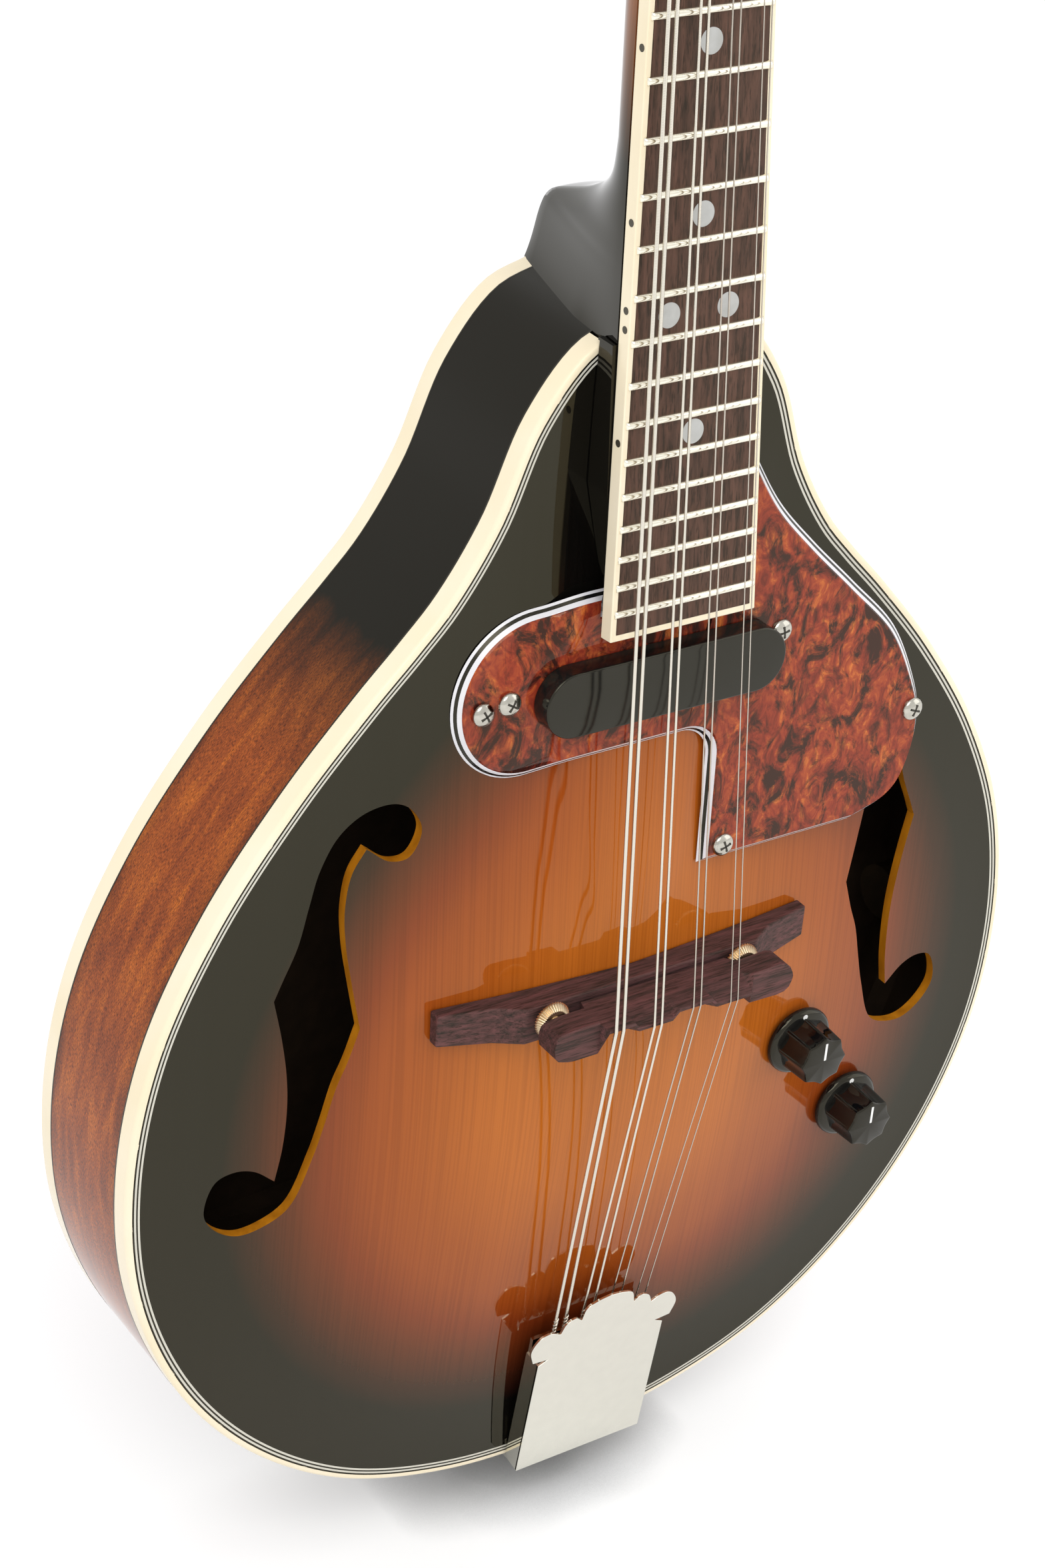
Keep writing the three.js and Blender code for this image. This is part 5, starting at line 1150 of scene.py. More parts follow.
def make_fingerboard():
    inner_end = BOARD_END + BOARD_BINDING
    rings = []
    for i in range(BOARD_STEPS + 1):
        y = inner_end + (SCALE_LENGTH - BOARD_END - BOARD_BINDING) * i / BOARD_STEPS
        half = board_half(y) - BOARD_BINDING
        rings.append([(x, y, z) for x, z in ((-half, BOARD_BOTTOM), (half, BOARD_BOTTOM),
                                             (half, -FRET_HEIGHT), (-half, -FRET_HEIGHT))])
    piece("fingerboard_wood", *loft(rings), "board", NECK, stands_for=["fingerboard"])
    section = [(FRET_WIDTH / 2 * math.cos(a), FRET_HEIGHT * math.sin(a))
               for a in (math.pi * i / FRET_ARC_STEPS for i in range(FRET_ARC_STEPS + 1))]
    frets = []
    for y in fret_places[1:]:
        half = board_half(y) - BOARD_BINDING * FRET_INSET_share
        stations = [(-half + inset, tall) for inset, tall in FRET_ENDS]
        stations += [(half - inset, tall) for inset, tall in reversed(FRET_ENDS)]
        frets.append(loft([[(x, y + a, -FRET_HEIGHT + b * tall) for a, b in section] for x, tall in stations]))
    piece("frets", *together(*frets), "fret", NECK, sharp=60)
    dots, side_dots = [], []
    side_z = -FRET_HEIGHT - BOARD_THICKNESS * SIDE_DOT_DEPTH_share
    for number in DOT_FRETS:
        y = (fret_places[number] + fret_places[number - 1]) / 2
        twin = number == OCTAVE_FRET
        for x in ((-DOT_OFFSET, DOT_OFFSET) if twin else (0,)):
            dots.append(moved(disc(DOT_RADIUS, 0, PAINT, DOT_SIDES), x, y, -FRET_HEIGHT))
        for dy in ((-SIDE_DOT_TWIN_OFFSET, SIDE_DOT_TWIN_OFFSET) if twin else (0,)):
            outer = -board_half(y + dy) - PAINT
            ring = [(y + dy + SIDE_DOT_RADIUS * math.cos(a), side_z + SIDE_DOT_RADIUS * math.sin(a))
                    for a in around(SIDE_DOT_SIDES)]
            side_dots.append(loft([[(x, *p) for p in ring] for x in (outer, outer + SIDE_DOT_SINK)]))
    piece("pearl_dots", *together(*dots), "pearl", NECK)
    piece("side_dots", *together(*side_dots), "side_dot", NECK)
    nut, end, inner = board_half(SCALE_LENGTH), board_half(BOARD_END), board_half(inner_end) - BOARD_BINDING
    plan = [(-nut, SCALE_LENGTH), (-end, BOARD_END), (end, BOARD_END), (nut, SCALE_LENGTH),
            (nut - BOARD_BINDING, SCALE_LENGTH), (inner, inner_end), (-inner, inner_end),
            (BOARD_BINDING - nut, SCALE_LENGTH)]
    piece("fingerboard_binding_strip", *prism(plan, BOARD_BOTTOM, -FRET_HEIGHT), "cream", NECK,
          bevel=BOARD_EDGE, stands_for=["fingerboard_binding"])


# Neck and headstock

OUTLINE_NEAR_NECK = np.array(sorted((p.x, p.y) for p in outline if p.y > NEAR_NECK_Y and p.x >= 0))


def outline_y(x):
    """How far up the body's outline reaches at a distance from the centre line."""
    return float(np.interp(abs(x), OUTLINE_NEAR_NECK[:, 0], OUTLINE_NEAR_NECK[:, 1]))


def lerp(a, b, t):
    return a + (b - a) * t


def neck_top(y):
    return FRET_PLANE_AT_SADDLE - math.tan(NECK_PITCH) * y + (BOARD_BOTTOM - SEAM) / math.cos(NECK_PITCH)


heel_curve = np.array([list(p) for p in evenly(catmull(HEEL_shares, HEEL_CURVE_STEPS), HEEL_CURVE_POINTS)])


def neck_point(y, i):
    """Point i of the neck's section at a place along it, from under the board's edge round its back."""
    along = min(1, (y - NECK_END_Y + HEEL_SEAT) / (HEEL_REACH + HEEL_SEAT))
    depth, cap_share, square = (float(np.interp(along, heel_curve[:, 0], heel_curve[:, k])) for k in (1, 2, 3))
    top = neck_top(y)
    half = min(board_half(y), HEEL_TOP_HALF_WIDTH)
    bottom = lerp(top - NECK_DEPTH, -RIM_DEPTH, depth)
    cap = min(half, HEEL_CAP_HALF_WIDTH * cap_share)
    side, t = (1, i / NECK_SECTION_STEPS) if i <= NECK_SECTION_STEPS else (-1, 2 - i / NECK_SECTION_STEPS)
    down = min(1, t / HEEL_SIDE_share)
    over = max(0, t - HEEL_SIDE_share) / (1 - HEEL_SIDE_share)
    square_x = cap * (1 - over) if over > 0 else lerp(half, cap, down ** HEEL_SIDE_POWER)
    x = lerp(half * math.cos(t * math.pi / 2), square_x, square)
    sink = lerp(math.sin(t * math.pi / 2), down, square)
    return side * x, lerp(top, bottom, sink)


def neck_start(i):
    """Where the line of points i along the neck meets the body."""
    y = NECK_END_Y
    for _ in range(NECK_START_ROUNDS):
        x, z = neck_point(y, i)
        y = NECK_END_Y - NECK_TOP_REACH if z > -SEAM else outline_y(x) - SEAM
    return y


def make_neck():
    count = 2 * NECK_SECTION_STEPS + 1
    starts = [neck_start(i) for i in range(count)]
    heel_end = NECK_END_Y + HEEL_REACH
    shaft_end = (SCALE_LENGTH - NUT_WIDTH) * math.cos(NECK_PITCH)
    rings = []
    for k in range(NECK_RINGS + 1):
        ring = []
        for i in range(count):
            y = lerp(starts[i], heel_end, (k / NECK_RINGS) ** NECK_RING_POWER)
            x, z = neck_point(y, i)
            deep = min(1, max(0, (-SEAM - z) / HEEL_FLARE_FADE), abs(x) / HEEL_FLARE)
            fade = deep * math.exp(-(y - starts[i]) / HEEL_FLARE_REACH)
            out = abs(x) + HEEL_FLARE * fade
            y += fade * (outline_y(out) - outline_y(x))
            ring.append(Vector((math.copysign(out, x), y, max(z, -RIM_DEPTH))))
        rings.append(ring)
    for k in range(1, SHAFT_RINGS + 1):
        y = lerp(heel_end, shaft_end, k / SHAFT_RINGS)
        rings.append([Vector((x, y, z)) for x, z in (neck_point(y, i) for i in range(count))])
    turns = [math.pi / 2 * min(i, 2 * NECK_SECTION_STEPS - i) / NECK_SECTION_STEPS for i in range(count)]
    signs = [1 if i <= NECK_SECTION_STEPS else -1 for i in range(count)]
    under_nut = NECK @ Vector((0, SCALE_LENGTH + NUT_WIDTH + SEAM, BOARD_BOTTOM - SEAM))
    half = board_half(SCALE_LENGTH)
    rings.append([Vector((sign * half * math.cos(turn), under_nut.y, under_nut.z - NECK_DEPTH * math.sin(turn)))
                  for sign, turn in zip(signs, turns)])
    for y, half, top, bottom, power in THROAT:
        rings.append([HEAD @ Vector((sign * half * max(0, math.cos(turn)) ** power, y,
                                     lerp(top, bottom, math.sin(turn) ** power)))
                      for sign, turn in zip(signs, turns)])
    piece("neck_wood", *loft(rings), "lacquer", stands_for=["neck"], sharp=50)
    side = cornered([Vector((x * HEAD_HALF_WIDTH, y * HEAD_LENGTH)) for x, y in HEAD_shares],
                    HEAD_CORNERS, HEAD_SPAN_STEPS, False)
    plan = side + [Vector((-p.x, p.y)) for p in reversed(side[:-1])]
    piece("headstock_wood", *prism(plan, -HEAD_THICKNESS, 0), "lacquer", HEAD, bevel=HEAD_EDGE)


# Tuners

WHEEL_Z = -HEAD_THICKNESS - SEAM - PLATE_METAL - WHEEL_STAND_OFF
WHEEL_PITCH_RADIUS = WORM_PITCH * WHEEL_TEETH / (2 * math.pi)
WORM_OFFSET = WHEEL_PITCH_RADIUS + WORM_PITCH_RADIUS + MESH_CLEARANCE
SHAFT_END = HEAD_HALF_WIDTH + BUTTON_GAP - POST_OFFSET + BUTTON_COLLAR


def about_x(shape):
    """Turns a piece made about Z so that its axis lies along X."""
    points, faces = shape
    return [(p[2], p[1], -p[0]) for p in points], faces


def worm():
    half = WORM_TURNS * WORM_PITCH / 2
    rings = []
    for i in range(WORM_STEPS + 1):
        x = lerp(-half, half, i / WORM_STEPS)
        ring = []
        for j, angle in enumerate(around(WORM_SIDES)):
            phase = j / WORM_SIDES - x / WORM_PITCH + 1 / 2
            to_crest = abs(phase - round(phase)) * 2
            raised = min(1, max(0, (WORM_THREAD_share - to_crest) / WORM_FLANK_share))
            radius = WORM_PITCH_RADIUS - WORM_ROOT + raised * (WORM_ROOT + WORM_CREST)
            ring.append((x, -radius * math.cos(angle), -radius * math.sin(angle)))
        rings.append(ring)
    return loft(rings)


def tuner_button():
    """The pearly button: an oval paddle that grows out of a round collar."""
    start = SHAFT_END - BUTTON_COLLAR / 2
    rings = []
    for k in range(BUTTON_STEPS + 1):
        t = k / BUTTON_STEPS
        swell = math.sqrt(max(0, 1 - (2 * t - 1) ** 2))
        wide = max(BUTTON_WIDTH / 2 * swell ** BUTTON_WIDTH_POWER, BUTTON_LEAST)
        thick = max(BUTTON_THICKNESS / 2 * swell ** BUTTON_THICKNESS_POWER, BUTTON_LEAST)
        rings.append([(start + BUTTON_LENGTH * t, wide * math.cos(a), thick * math.sin(a))
                      for a in around(BUTTON_SIDES)])
    return loft(rings)


def wheel_plan():
    half = [(share, crest * WHEEL_CREST - root * WHEEL_ROOT) for share, root, crest in TOOTH_shares]
    tooth_profile = [(-share, rise) for share, rise in half[:-1]] + half[::-1]
    plan = []
    for tooth in range(WHEEL_TEETH):
        for share, rise in tooth_profile:
            angle = math.pi / 2 + (tooth + share) * 2 * math.pi / WHEEL_TEETH
            radius = WHEEL_PITCH_RADIUS + rise
            plan.append((radius * math.cos(angle), radius * math.sin(angle)))
    return plan


def make_tuners():
    inner = -LUG_OFFSET - 2 * LUG_THICKNESS
    shaft = turned([(WORM_SHAFT_RADIUS - SHAFT_CHAMFER, inner), (WORM_SHAFT_RADIUS, inner + SHAFT_CHAMFER),
                    (WORM_SHAFT_RADIUS, SHAFT_END)], WORM_SIDES)
    low = WHEEL_Z - WHEEL_THICKNESS / 2
    waist = [(POST_RADIUS - inset, z) for inset, z in POST_WAIST]
    post = turned([(POST_RADIUS, low), *waist, (POST_RADIUS, POST_HEIGHT - POST_CROWN),
                   (POST_RADIUS - POST_CROWN, POST_HEIGHT)], POST_SIDES)
    screw = turned([(radius, low + z) for radius, z in POST_SCREW], POST_SCREW_SIDES)
    wheel = prism(wheel_plan(), low, low + WHEEL_THICKNESS)
    bore = POST_RADIUS + BUSHING_GAP
    bushing = revolve_ring([(bore, 0), *BUSHING_EDGE, (bore, BUSHING_EDGE[-1][1])], BUSHING_SIDES)
    bushings = []
    for number in range(1, 2 * TUNER_COUNT + 1):
        side = -1 if number <= TUNER_COUNT else 1
        x, y = side * POST_OFFSET, TUNER_FIRST + (number - 1) % TUNER_COUNT * TUNER_SPACING

        def placed(shape, turn=side):
            points, faces = shape
            return [(turn * p[0] + x, turn * p[1] + y + WORM_OFFSET, p[2] + WHEEL_Z) for p in points], faces

        drive = together(placed(about_x(shaft)), placed(worm(), 1))
        piece(f"tuner_shaft_{number}", *drive, "nickel", HEAD, f"tuner_{number}", sharp=50,
              stands_for=[f"tuner_button_{number}"])
        piece(f"tuner_knob_{number}", *placed(tuner_button()), "button", HEAD, f"tuner_{number}", sharp=70)
        piece(f"string_post_{number}_turned", *moved(together(post, wheel, screw), x, y, 0), "nickel", HEAD,
              f"post_{number}", stands_for=[f"string_post_{number}"])
        bushings.append(moved(bushing, x, y, 0))
    piece("post_bushings", *together(*bushings), "nickel", HEAD)


# Strings

def course_x(course, spread):
    return -spread / 2 + spread * course / (len(STRING_RADII) - 1)


def ridge_y(course):
    return SADDLE_CENTRE_Y + (COMPENSATION if course % 2 == 0 else -COMPENSATION)


def string_path(i):
    """The middle of a string, from its hook over the saddle and the nut and round its post."""
    course = i // 2
    gap, tail_gap = [(-g if i % 2 == 0 else g) / 2 for g in (PAIR_GAP, PAIR_GAP_TAIL)]
    radius = STRING_RADII[course]
    bass = i < WOUND_STRINGS
    place_index = i if bass else 2 * len(STRING_RADII) - 1 - i
    post = Vector((-POST_OFFSET if bass else POST_OFFSET, TUNER_FIRST + place_index * TUNER_SPACING, 0))
    frame_z = FRAME_REAR_HEIGHT + FRAME_SLOPE * (FRAME_FRONT_Y + TAIL_TO_SADDLE + SEAM)
    start = Vector((TAILPIECE_X + (course_x(course, COURSE_SPREAD_TAIL) + tail_gap),
                    FRAME_FRONT_Y - HOOK_LENGTH + SEAM, frame_z + FRAME_METAL + HOOK_HEIGHT / 2 + radius))
    saddle = Vector((course_x(course, COURSE_SPREAD_SADDLE) + gap, ridge_y(course),
                     SADDLE_TOP + SEAM / 3 + radius))
    nut = NECK @ Vector((course_x(course, COURSE_SPREAD_NUT) + gap, SCALE_LENGTH + SEAM + NUT_RIDGE,
                         NUT_TOP + SEAM / 3 + radius))
    wrap = POST_RADIUS + SEAM + radius
    turn = 1 if bass else -1
    winding = []
    for k in range(WINDING_TURNS * WINDING_STEPS + 1):
        angle = turn * k * 2 * math.pi / WINDING_STEPS + (0 if bass else math.pi)
        drop = k / WINDING_STEPS * (2 * radius + WINDING_PITCH_GAP)
        place = Vector((wrap * math.cos(angle), wrap * math.sin(angle), WINDING_HEIGHT - drop))
        winding.append(HEAD @ (post + place))
    return [start, saddle, nut, *winding], radius


def make_strings():
    steps = TWIST_COUNT * TWIST_STEPS
    for i in range(2 * len(STRING_RADII)):
        path, radius = string_path(i)
        finish = "wound" if i < WOUND_STRINGS else "wire"
        piece(f"string_{i + 1}_wire", *tube(path, radius, STRING_SIDES), finish,
              stands_for=[f"string_{i + 1}"], sharp=50)
        along = (path[1] - path[0]).normalized()
        side = Vector((1, 0, 0))
        up = along.cross(side).normalized()
        grip = radius * TWIST_GRIP_share
        twist = []
        for k in range(steps + 1):
            t = k / steps
            angle = 2 * math.pi * TWIST_COUNT * t
            twist.append(path[0] + along * (TWIST_LENGTH * t + TWIST_START) + side * grip * math.cos(angle)
                         + up * grip * math.sin(angle))
        piece(f"string_{i + 1}_twist", *tube(twist, radius * TWIST_WIRE_share, TWIST_SIDES), "wire", sharp=60)


# Bridge

BASE_HALF_LENGTH = 56.5
BASE_WIDTH = 10.4
BASE_CENTRE_Y = -0.3
BASE_END_TAPER = 1.3
BASE_END_TOP = 9.6
BASE_WING_TOP = 12.8
BASE_WING_X = 42
BASE_SHOULDER_X = 35
BASE_MIDDLE_X = 12
SADDLE_END_HEIGHT = 7.3
SADDLE_CHAMFER = 0.4
SADDLE_FOOT = 1.3
SADDLE_SHOULDER = 4.4
SADDLE_NECK_SIDE_Y = 3.6
SADDLE_TAIL_SIDE_Y = -2.8
SADDLE_RIDGE_WIDTH = 0.9
# The crest's rounding: share of the ridge's width and drop, on the neck side and on the tail side
SADDLE_NECK_ROUNDING = (0.7, 0.4)
SADDLE_TAIL_ROUNDING = (0.9, 0.6)
# How far a course's ridge reaches to either side, and the last one's to the treble side
SADDLE_STEP_share = 0.42
SADDLE_LAST_STEP_share = 0.5
# Ends of the saddle in plan: place across, neck side and tail side
SADDLE_BASS_END = [
    (-34, 0.8, -1.4), (-33.6, 2.2, -3.2), (-32.4, 3.1, -4.6), (-29.6, 3.4, -5.5), (-27.8, 3.6, -5.8),
    (-20.9, 3.6, -5.8),
]
SADDLE_TREBLE_END = [
    (25.9, 3.8, -5.0), (34.6, 4.2, -5.2), (36.6, 3.6, -4.9), (38.0, 2.3, -3.9), (38.7, 0.9, -2.2),
    (38.9, 0, -0.9),
]
SADDLE_CREST_ENDS = (-20.2, 23.6)


def make_bridge():
    half = [BASE_MIDDLE_X, STUD_X, BASE_SHOULDER_X, BASE_WING_X, BASE_HALF_LENGTH]
    heights = {BASE_HALF_LENGTH: BASE_END_TOP, BASE_WING_X: BASE_WING_TOP}
    near_side, far = BASE_CENTRE_Y - BASE_WIDTH / 2, BASE_CENTRE_Y + BASE_WIDTH / 2
    rings = []
    for x in [-x for x in reversed(half)] + [0] + half:
        high = heights.get(abs(x), BASE_TOP)
        near = near_side + (BASE_END_TAPER if abs(x) == BASE_HALF_LENGTH else 0)
        rings.append([(x, near, top_at(x, near) + SEAM), (x, far, top_at(x, far) + SEAM), (x, far, high),
                      (x, near, high)])
    piece("bridge_base_wood", *loft(rings), "bridge", bevel=BASE_EDGE, stands_for=["bridge_base"])
    stud = disc(STUD_RADIUS, BASE_TOP - STUD_SINK, SADDLE_BOTTOM + STUD_RISE, STUD_SIDES)
    for x, name in ((-STUD_X, "bass"), (STUD_X, "treble")):
        piece(f"bridge_stud_{name}", *moved(stud, x, SADDLE_CENTRE_Y, 0), "brass")


def make_saddle():
    """The saddle: wide rounded ends, and a middle that leans from an upright side into a stepped crest."""
    low = SADDLE_BOTTOM
    high = low + SADDLE_END_HEIGHT
    foot, shoulder = BASE_TOP + SADDLE_FOOT, low + SADDLE_SHOULDER
    cut = SADDLE_CHAMFER
    last = len(STRING_RADII) - 1
    spacing = COURSE_SPREAD_SADDLE / last

    def end_section(x, far, near):
        middle = (far + near) / 2
        return [(x, y, z) for y, z in ((far, low), (far, high - cut), (far - cut, high), (middle + cut, high),
                                       (middle - cut, high), (near + cut, high), (near, high - cut), (near, low))]

    def middle_section(x, ridge):
        (neck_share, neck_drop), (tail_share, tail_drop) = SADDLE_NECK_ROUNDING, SADDLE_TAIL_ROUNDING
        return [(x, y, z) for y, z in (
            (SADDLE_NECK_SIDE_Y, foot), (SADDLE_NECK_SIDE_Y, shoulder),
            (ridge + SADDLE_RIDGE_WIDTH * neck_share, SADDLE_TOP - neck_drop),
            (ridge + SADDLE_RIDGE_WIDTH / 2, SADDLE_TOP), (ridge - SADDLE_RIDGE_WIDTH / 2, SADDLE_TOP),
            (ridge - SADDLE_RIDGE_WIDTH * tail_share, SADDLE_TOP - tail_drop),
            (SADDLE_TAIL_SIDE_Y, shoulder), (SADDLE_TAIL_SIDE_Y, foot))]

    middle = []
    for course in range(last + 1):
        x = course_x(course, COURSE_SPREAD_SADDLE)
        reach = SADDLE_LAST_STEP_share if course == last else SADDLE_STEP_share
        for end in (max(x - spacing * SADDLE_STEP_share, SADDLE_CREST_ENDS[0]),
                    min(x + spacing * reach, SADDLE_CREST_ENDS[1])):
            middle.append(middle_section(end, ridge_y(course)))
    bass, treble = [[end_section(*place) for place in end] for end in (SADDLE_BASS_END, SADDLE_TREBLE_END)]
    piece("saddle_wood", *loft(bass + middle + treble), "bridge", body="saddle", stands_for=["bridge_saddle"],
          sharp=25)


def make_thumbwheels():
    low, high = SADDLE_BOTTOM - SEAM - THUMBWHEEL_THICKNESS, SADDLE_BOTTOM - SEAM
    bore = STUD_RADIUS + THUMBWHEEL_BORE_GAP
    profile = [(bore, low), (THUMBWHEEL_RADIUS - THUMBWHEEL_FOOT_INSET, low),
               (THUMBWHEEL_RADIUS, low + THUMBWHEEL_FOOT_HEIGHT), (THUMBWHEEL_RADIUS, high - THUMBWHEEL_CHAMFER),
               (THUMBWHEEL_RADIUS - THUMBWHEEL_CHAMFER, high), (bore, high)]

    def knurl(angle, z):
        return 1 - THUMBWHEEL_GROOVE_share * abs(math.sin(THUMBWHEEL_RIDGES * angle / 2))

    wheel = revolve(profile, THUMBWHEEL_RIDGES * THUMBWHEEL_SIDES_PER_RIDGE, knurl)
    for x, name in ((-STUD_X, "bass"), (STUD_X, "treble")):
        piece(f"thumbwheel_{name}_brass", *moved(wheel, x, SADDLE_CENTRE_Y, 0), "brass", body=f"{name}_wheel",
              stands_for=[f"thumbwheel_{name}"], sharp=30)


# Tailpiece

def make_tailpiece():
    corner = Matrix.Translation((TAILPIECE_X, COVER_REAR_Y, COVER_REAR_TOP))
    slope = corner @ Matrix.Rotation(math.atan(COVER_SLOPE), 4, "X")
    left = cornered([Vector(p) for p in COVER_EDGE_shares], COVER_CORNERS, COVER_SPAN_STEPS, False)
    left = [Vector((p.x * COVER_HALF_WIDTH, p.y * COVER_FRONT)) for p in left]
    right = [Vector((-p.x, p.y)) for p in reversed(left[:-1])]
    plan = [Vector((-COVER_HALF_WIDTH, 0)), *left, *right, Vector((COVER_HALF_WIDTH, 0))]
    piece("tailpiece_cover_top", *prism(plan, -COVER_METAL, 0), "nickel", slope, "tail_cover",
          bevel=COVER_EDGE, stands_for=["tailpiece_cover"])
    length = COVER_EDGE_shares[0][1] * COVER_FRONT
    corner_y, corner_rise = COVER_WALL_CORNER
    wall = [(0, COVER_WALL_TOP), (length, COVER_WALL_TOP), (length, -COVER_WALL), (corner_y, -COVER_WALL),
            (0, -COVER_WALL + corner_rise)]
    for side, name in ((-1, "bass"), (1, "treble")):
        x = side * (COVER_HALF_WIDTH - COVER_METAL / 2)
        rings = [[(x + across * side * COVER_METAL / 2, *p) for p in wall] for across in (1, -1)]
        piece(f"tailpiece_cover_wall_{name}", *loft(rings), "nickel", slope, "tail_cover", bevel=WALL_EDGE)


# Pickguard, pickup and screws

def arc(x, y, radius, angles):
    return [Vector((x + radius * math.cos(a), y + radius * math.sin(a))) for a in angles]


def guard_outline():
    height = GUARD_TOP_Y - GUARD_LOWER_Y
    edge = [(x * GUARD_WIDTH, GUARD_LOWER_Y + height * y) for x, y in GUARD_EDGE_shares]
    tip, tip_y = SUPPORT_TIP_HALF_WIDTH + SUPPORT_GAP, SUPPORT_TIP_Y - SUPPORT_GAP
    corners = [(SUPPORT_HALF_WIDTH + SUPPORT_GAP, SUPPORT_SHOULDER_Y), (tip, tip_y), (-tip, tip_y),
               (-tip, GUARD_LOBE_Y + GUARD_LOBE_RADIUS)]
    lobe = [math.pi / 2 + math.pi * i / GUARD_LOBE_STEPS for i in range(GUARD_LOBE_STEPS + 1)]
    corner = [math.pi / 2 * (1 - i / GUARD_CORNER_STEPS) for i in range(GUARD_CORNER_STEPS + 1)]
    return [Vector((GUARD_INNER_X, GUARD_LOWER_Y)), *catmull(edge, GUARD_EDGE_STEPS), *map(Vector, corners),
            *arc(GUARD_LOBE_X, GUARD_LOBE_Y, GUARD_LOBE_RADIUS, lobe),
            *arc(GUARD_INNER_X - GUARD_CORNER_RADIUS, GUARD_LOBE_Y - GUARD_LOBE_RADIUS - GUARD_CORNER_RADIUS,
                 GUARD_CORNER_RADIUS, corner)]


def smooth(t):
    t = min(1, max(0, t))
    return t * t * (3 - 2 * t)


def guard_drop(x, y):
    """How far the bass lobe has bent down at a place in plan."""
    away = math.dist((x, y), GUARD_BEND_CENTRE)
    sideways = smooth((GUARD_BEND_SIDE_X - x) / GUARD_BEND_REACH)
    bent = smooth((away - GUARD_BEND_START) / GUARD_BEND_REACH) * sideways
    height = (GUARD @ Vector((x, y, 0))).z - top_at(x, y) - GUARD_SEAT_GAP
    return bent * max(0, height)


def bend(shape):
    """Bends a pickguard piece down at the bass lobe, cutting its faces into a grid there."""
    points, faces = shape
    mesh = bpy.data.meshes.new("bend")
    mesh.from_pydata([Vector(p) for p in points], [], faces)
    work = bmesh.new()
    work.from_mesh(mesh)
    low_y, high_y = GUARD_LOBE_Y - GUARD_LOBE_RADIUS, GUARD_LOBE_Y + GUARD_LOBE_RADIUS
    for step in range(GUARD_BEND_STEPS):
        share = step / GUARD_BEND_STEPS
        cut_x = lerp(GUARD_BEND_SIDE_X, GUARD_LOBE_X - GUARD_LOBE_RADIUS, share)
        cut_y = lerp(low_y, high_y, share + GUARD_BEND_OFFSET_share)
        for place, normal in (((cut_x, 0, 0), (1, 0, 0)), ((0, cut_y, 0), (0, 1, 0))):
            lobe = [face for face in work.faces if min(v.co.x for v in face.verts) < GUARD_BEND_SIDE_X]
            parts = {*lobe, *(e for face in lobe for e in face.edges), *(v for face in lobe for v in face.verts)}
            bmesh.ops.bisect_plane(work, geom=list(parts), plane_co=place, plane_no=normal)
    across, along = GUARD_BEND_SHIFT_shares
    for vertex in work.verts:
        drop = guard_drop(vertex.co.x, vertex.co.y)
        vertex.co += Vector((across * drop, along * drop, -drop))
    work.verts.index_update()
    bent = [tuple(v.co) for v in work.verts], [tuple(v.index for v in face.verts) for face in work.faces]
    work.free()
    bpy.data.meshes.remove(mesh)
    return bent


def make_pickguard():
    """Four plies with one bevel across them, the tortoise on top."""
    plan = guard_outline()
    low = 0
    for name, finish, high in zip(("white_low", "black", "white_high", "tortoise"),
                                  ("white_ply", "black_ply", "white_ply", "tortoise"),
                                  (*GUARD_PLY_TOPS, GUARD_THICKNESS)):
        rings = [[(p.x, p.y, z) for p in offset(plan, z)] for z in (low, high)]
        piece(f"pickguard_{name}", *bend(loft(rings)), finish, GUARD,
              stands_for=["pickguard"] if name == "tortoise" else ())
        low = high
    spacers = []
    for x, y in GUARD_SCREWS:
        low = (GUARD.inverted() @ Vector((x, y, top_at(x, y)))).z
        high = -guard_drop(x, y)
        if high - low > SPACER_LEAST:
            spacers.append(moved(disc(SPACER_RADIUS, low, high, SPACER_SIDES), x, y, 0))
    piece("pickguard_spacers", *together(*spacers), "plastic", GUARD)


def stadium(length, width):
    end = (length - width) / 2
    points = []
    for side, start in ((1, 0), (-1, math.pi)):
        points += arc(side * end, 0, width / 2,
                      [-math.pi / 2 + math.pi * i / PICKUP_END_STEPS + start for i in range(PICKUP_END_STEPS + 1)])
    return points


def make_pickup():
    low = GUARD_THICKNESS + SEAM
    plan = [Vector((p.x, p.y + PICKUP_Y)) for p in stadium(PICKUP_LENGTH, PICKUP_WIDTH)]
    rings = [[(p.x, p.y, low) for p in plan]]
    for i in range(PICKUP_ARC_STEPS + 1):
        angle = math.pi / 2 * i / PICKUP_ARC_STEPS
        z = low + PICKUP_HEIGHT - PICKUP_ROUNDING + PICKUP_ROUNDING * math.sin(angle)
        rings.append([(p.x, p.y, z) for p in offset(plan, PICKUP_ROUNDING * (1 - math.cos(angle)))])
    piece("pickup_cover", *loft(rings), "pickup", GUARD, stands_for=["pickup"], sharp=50)


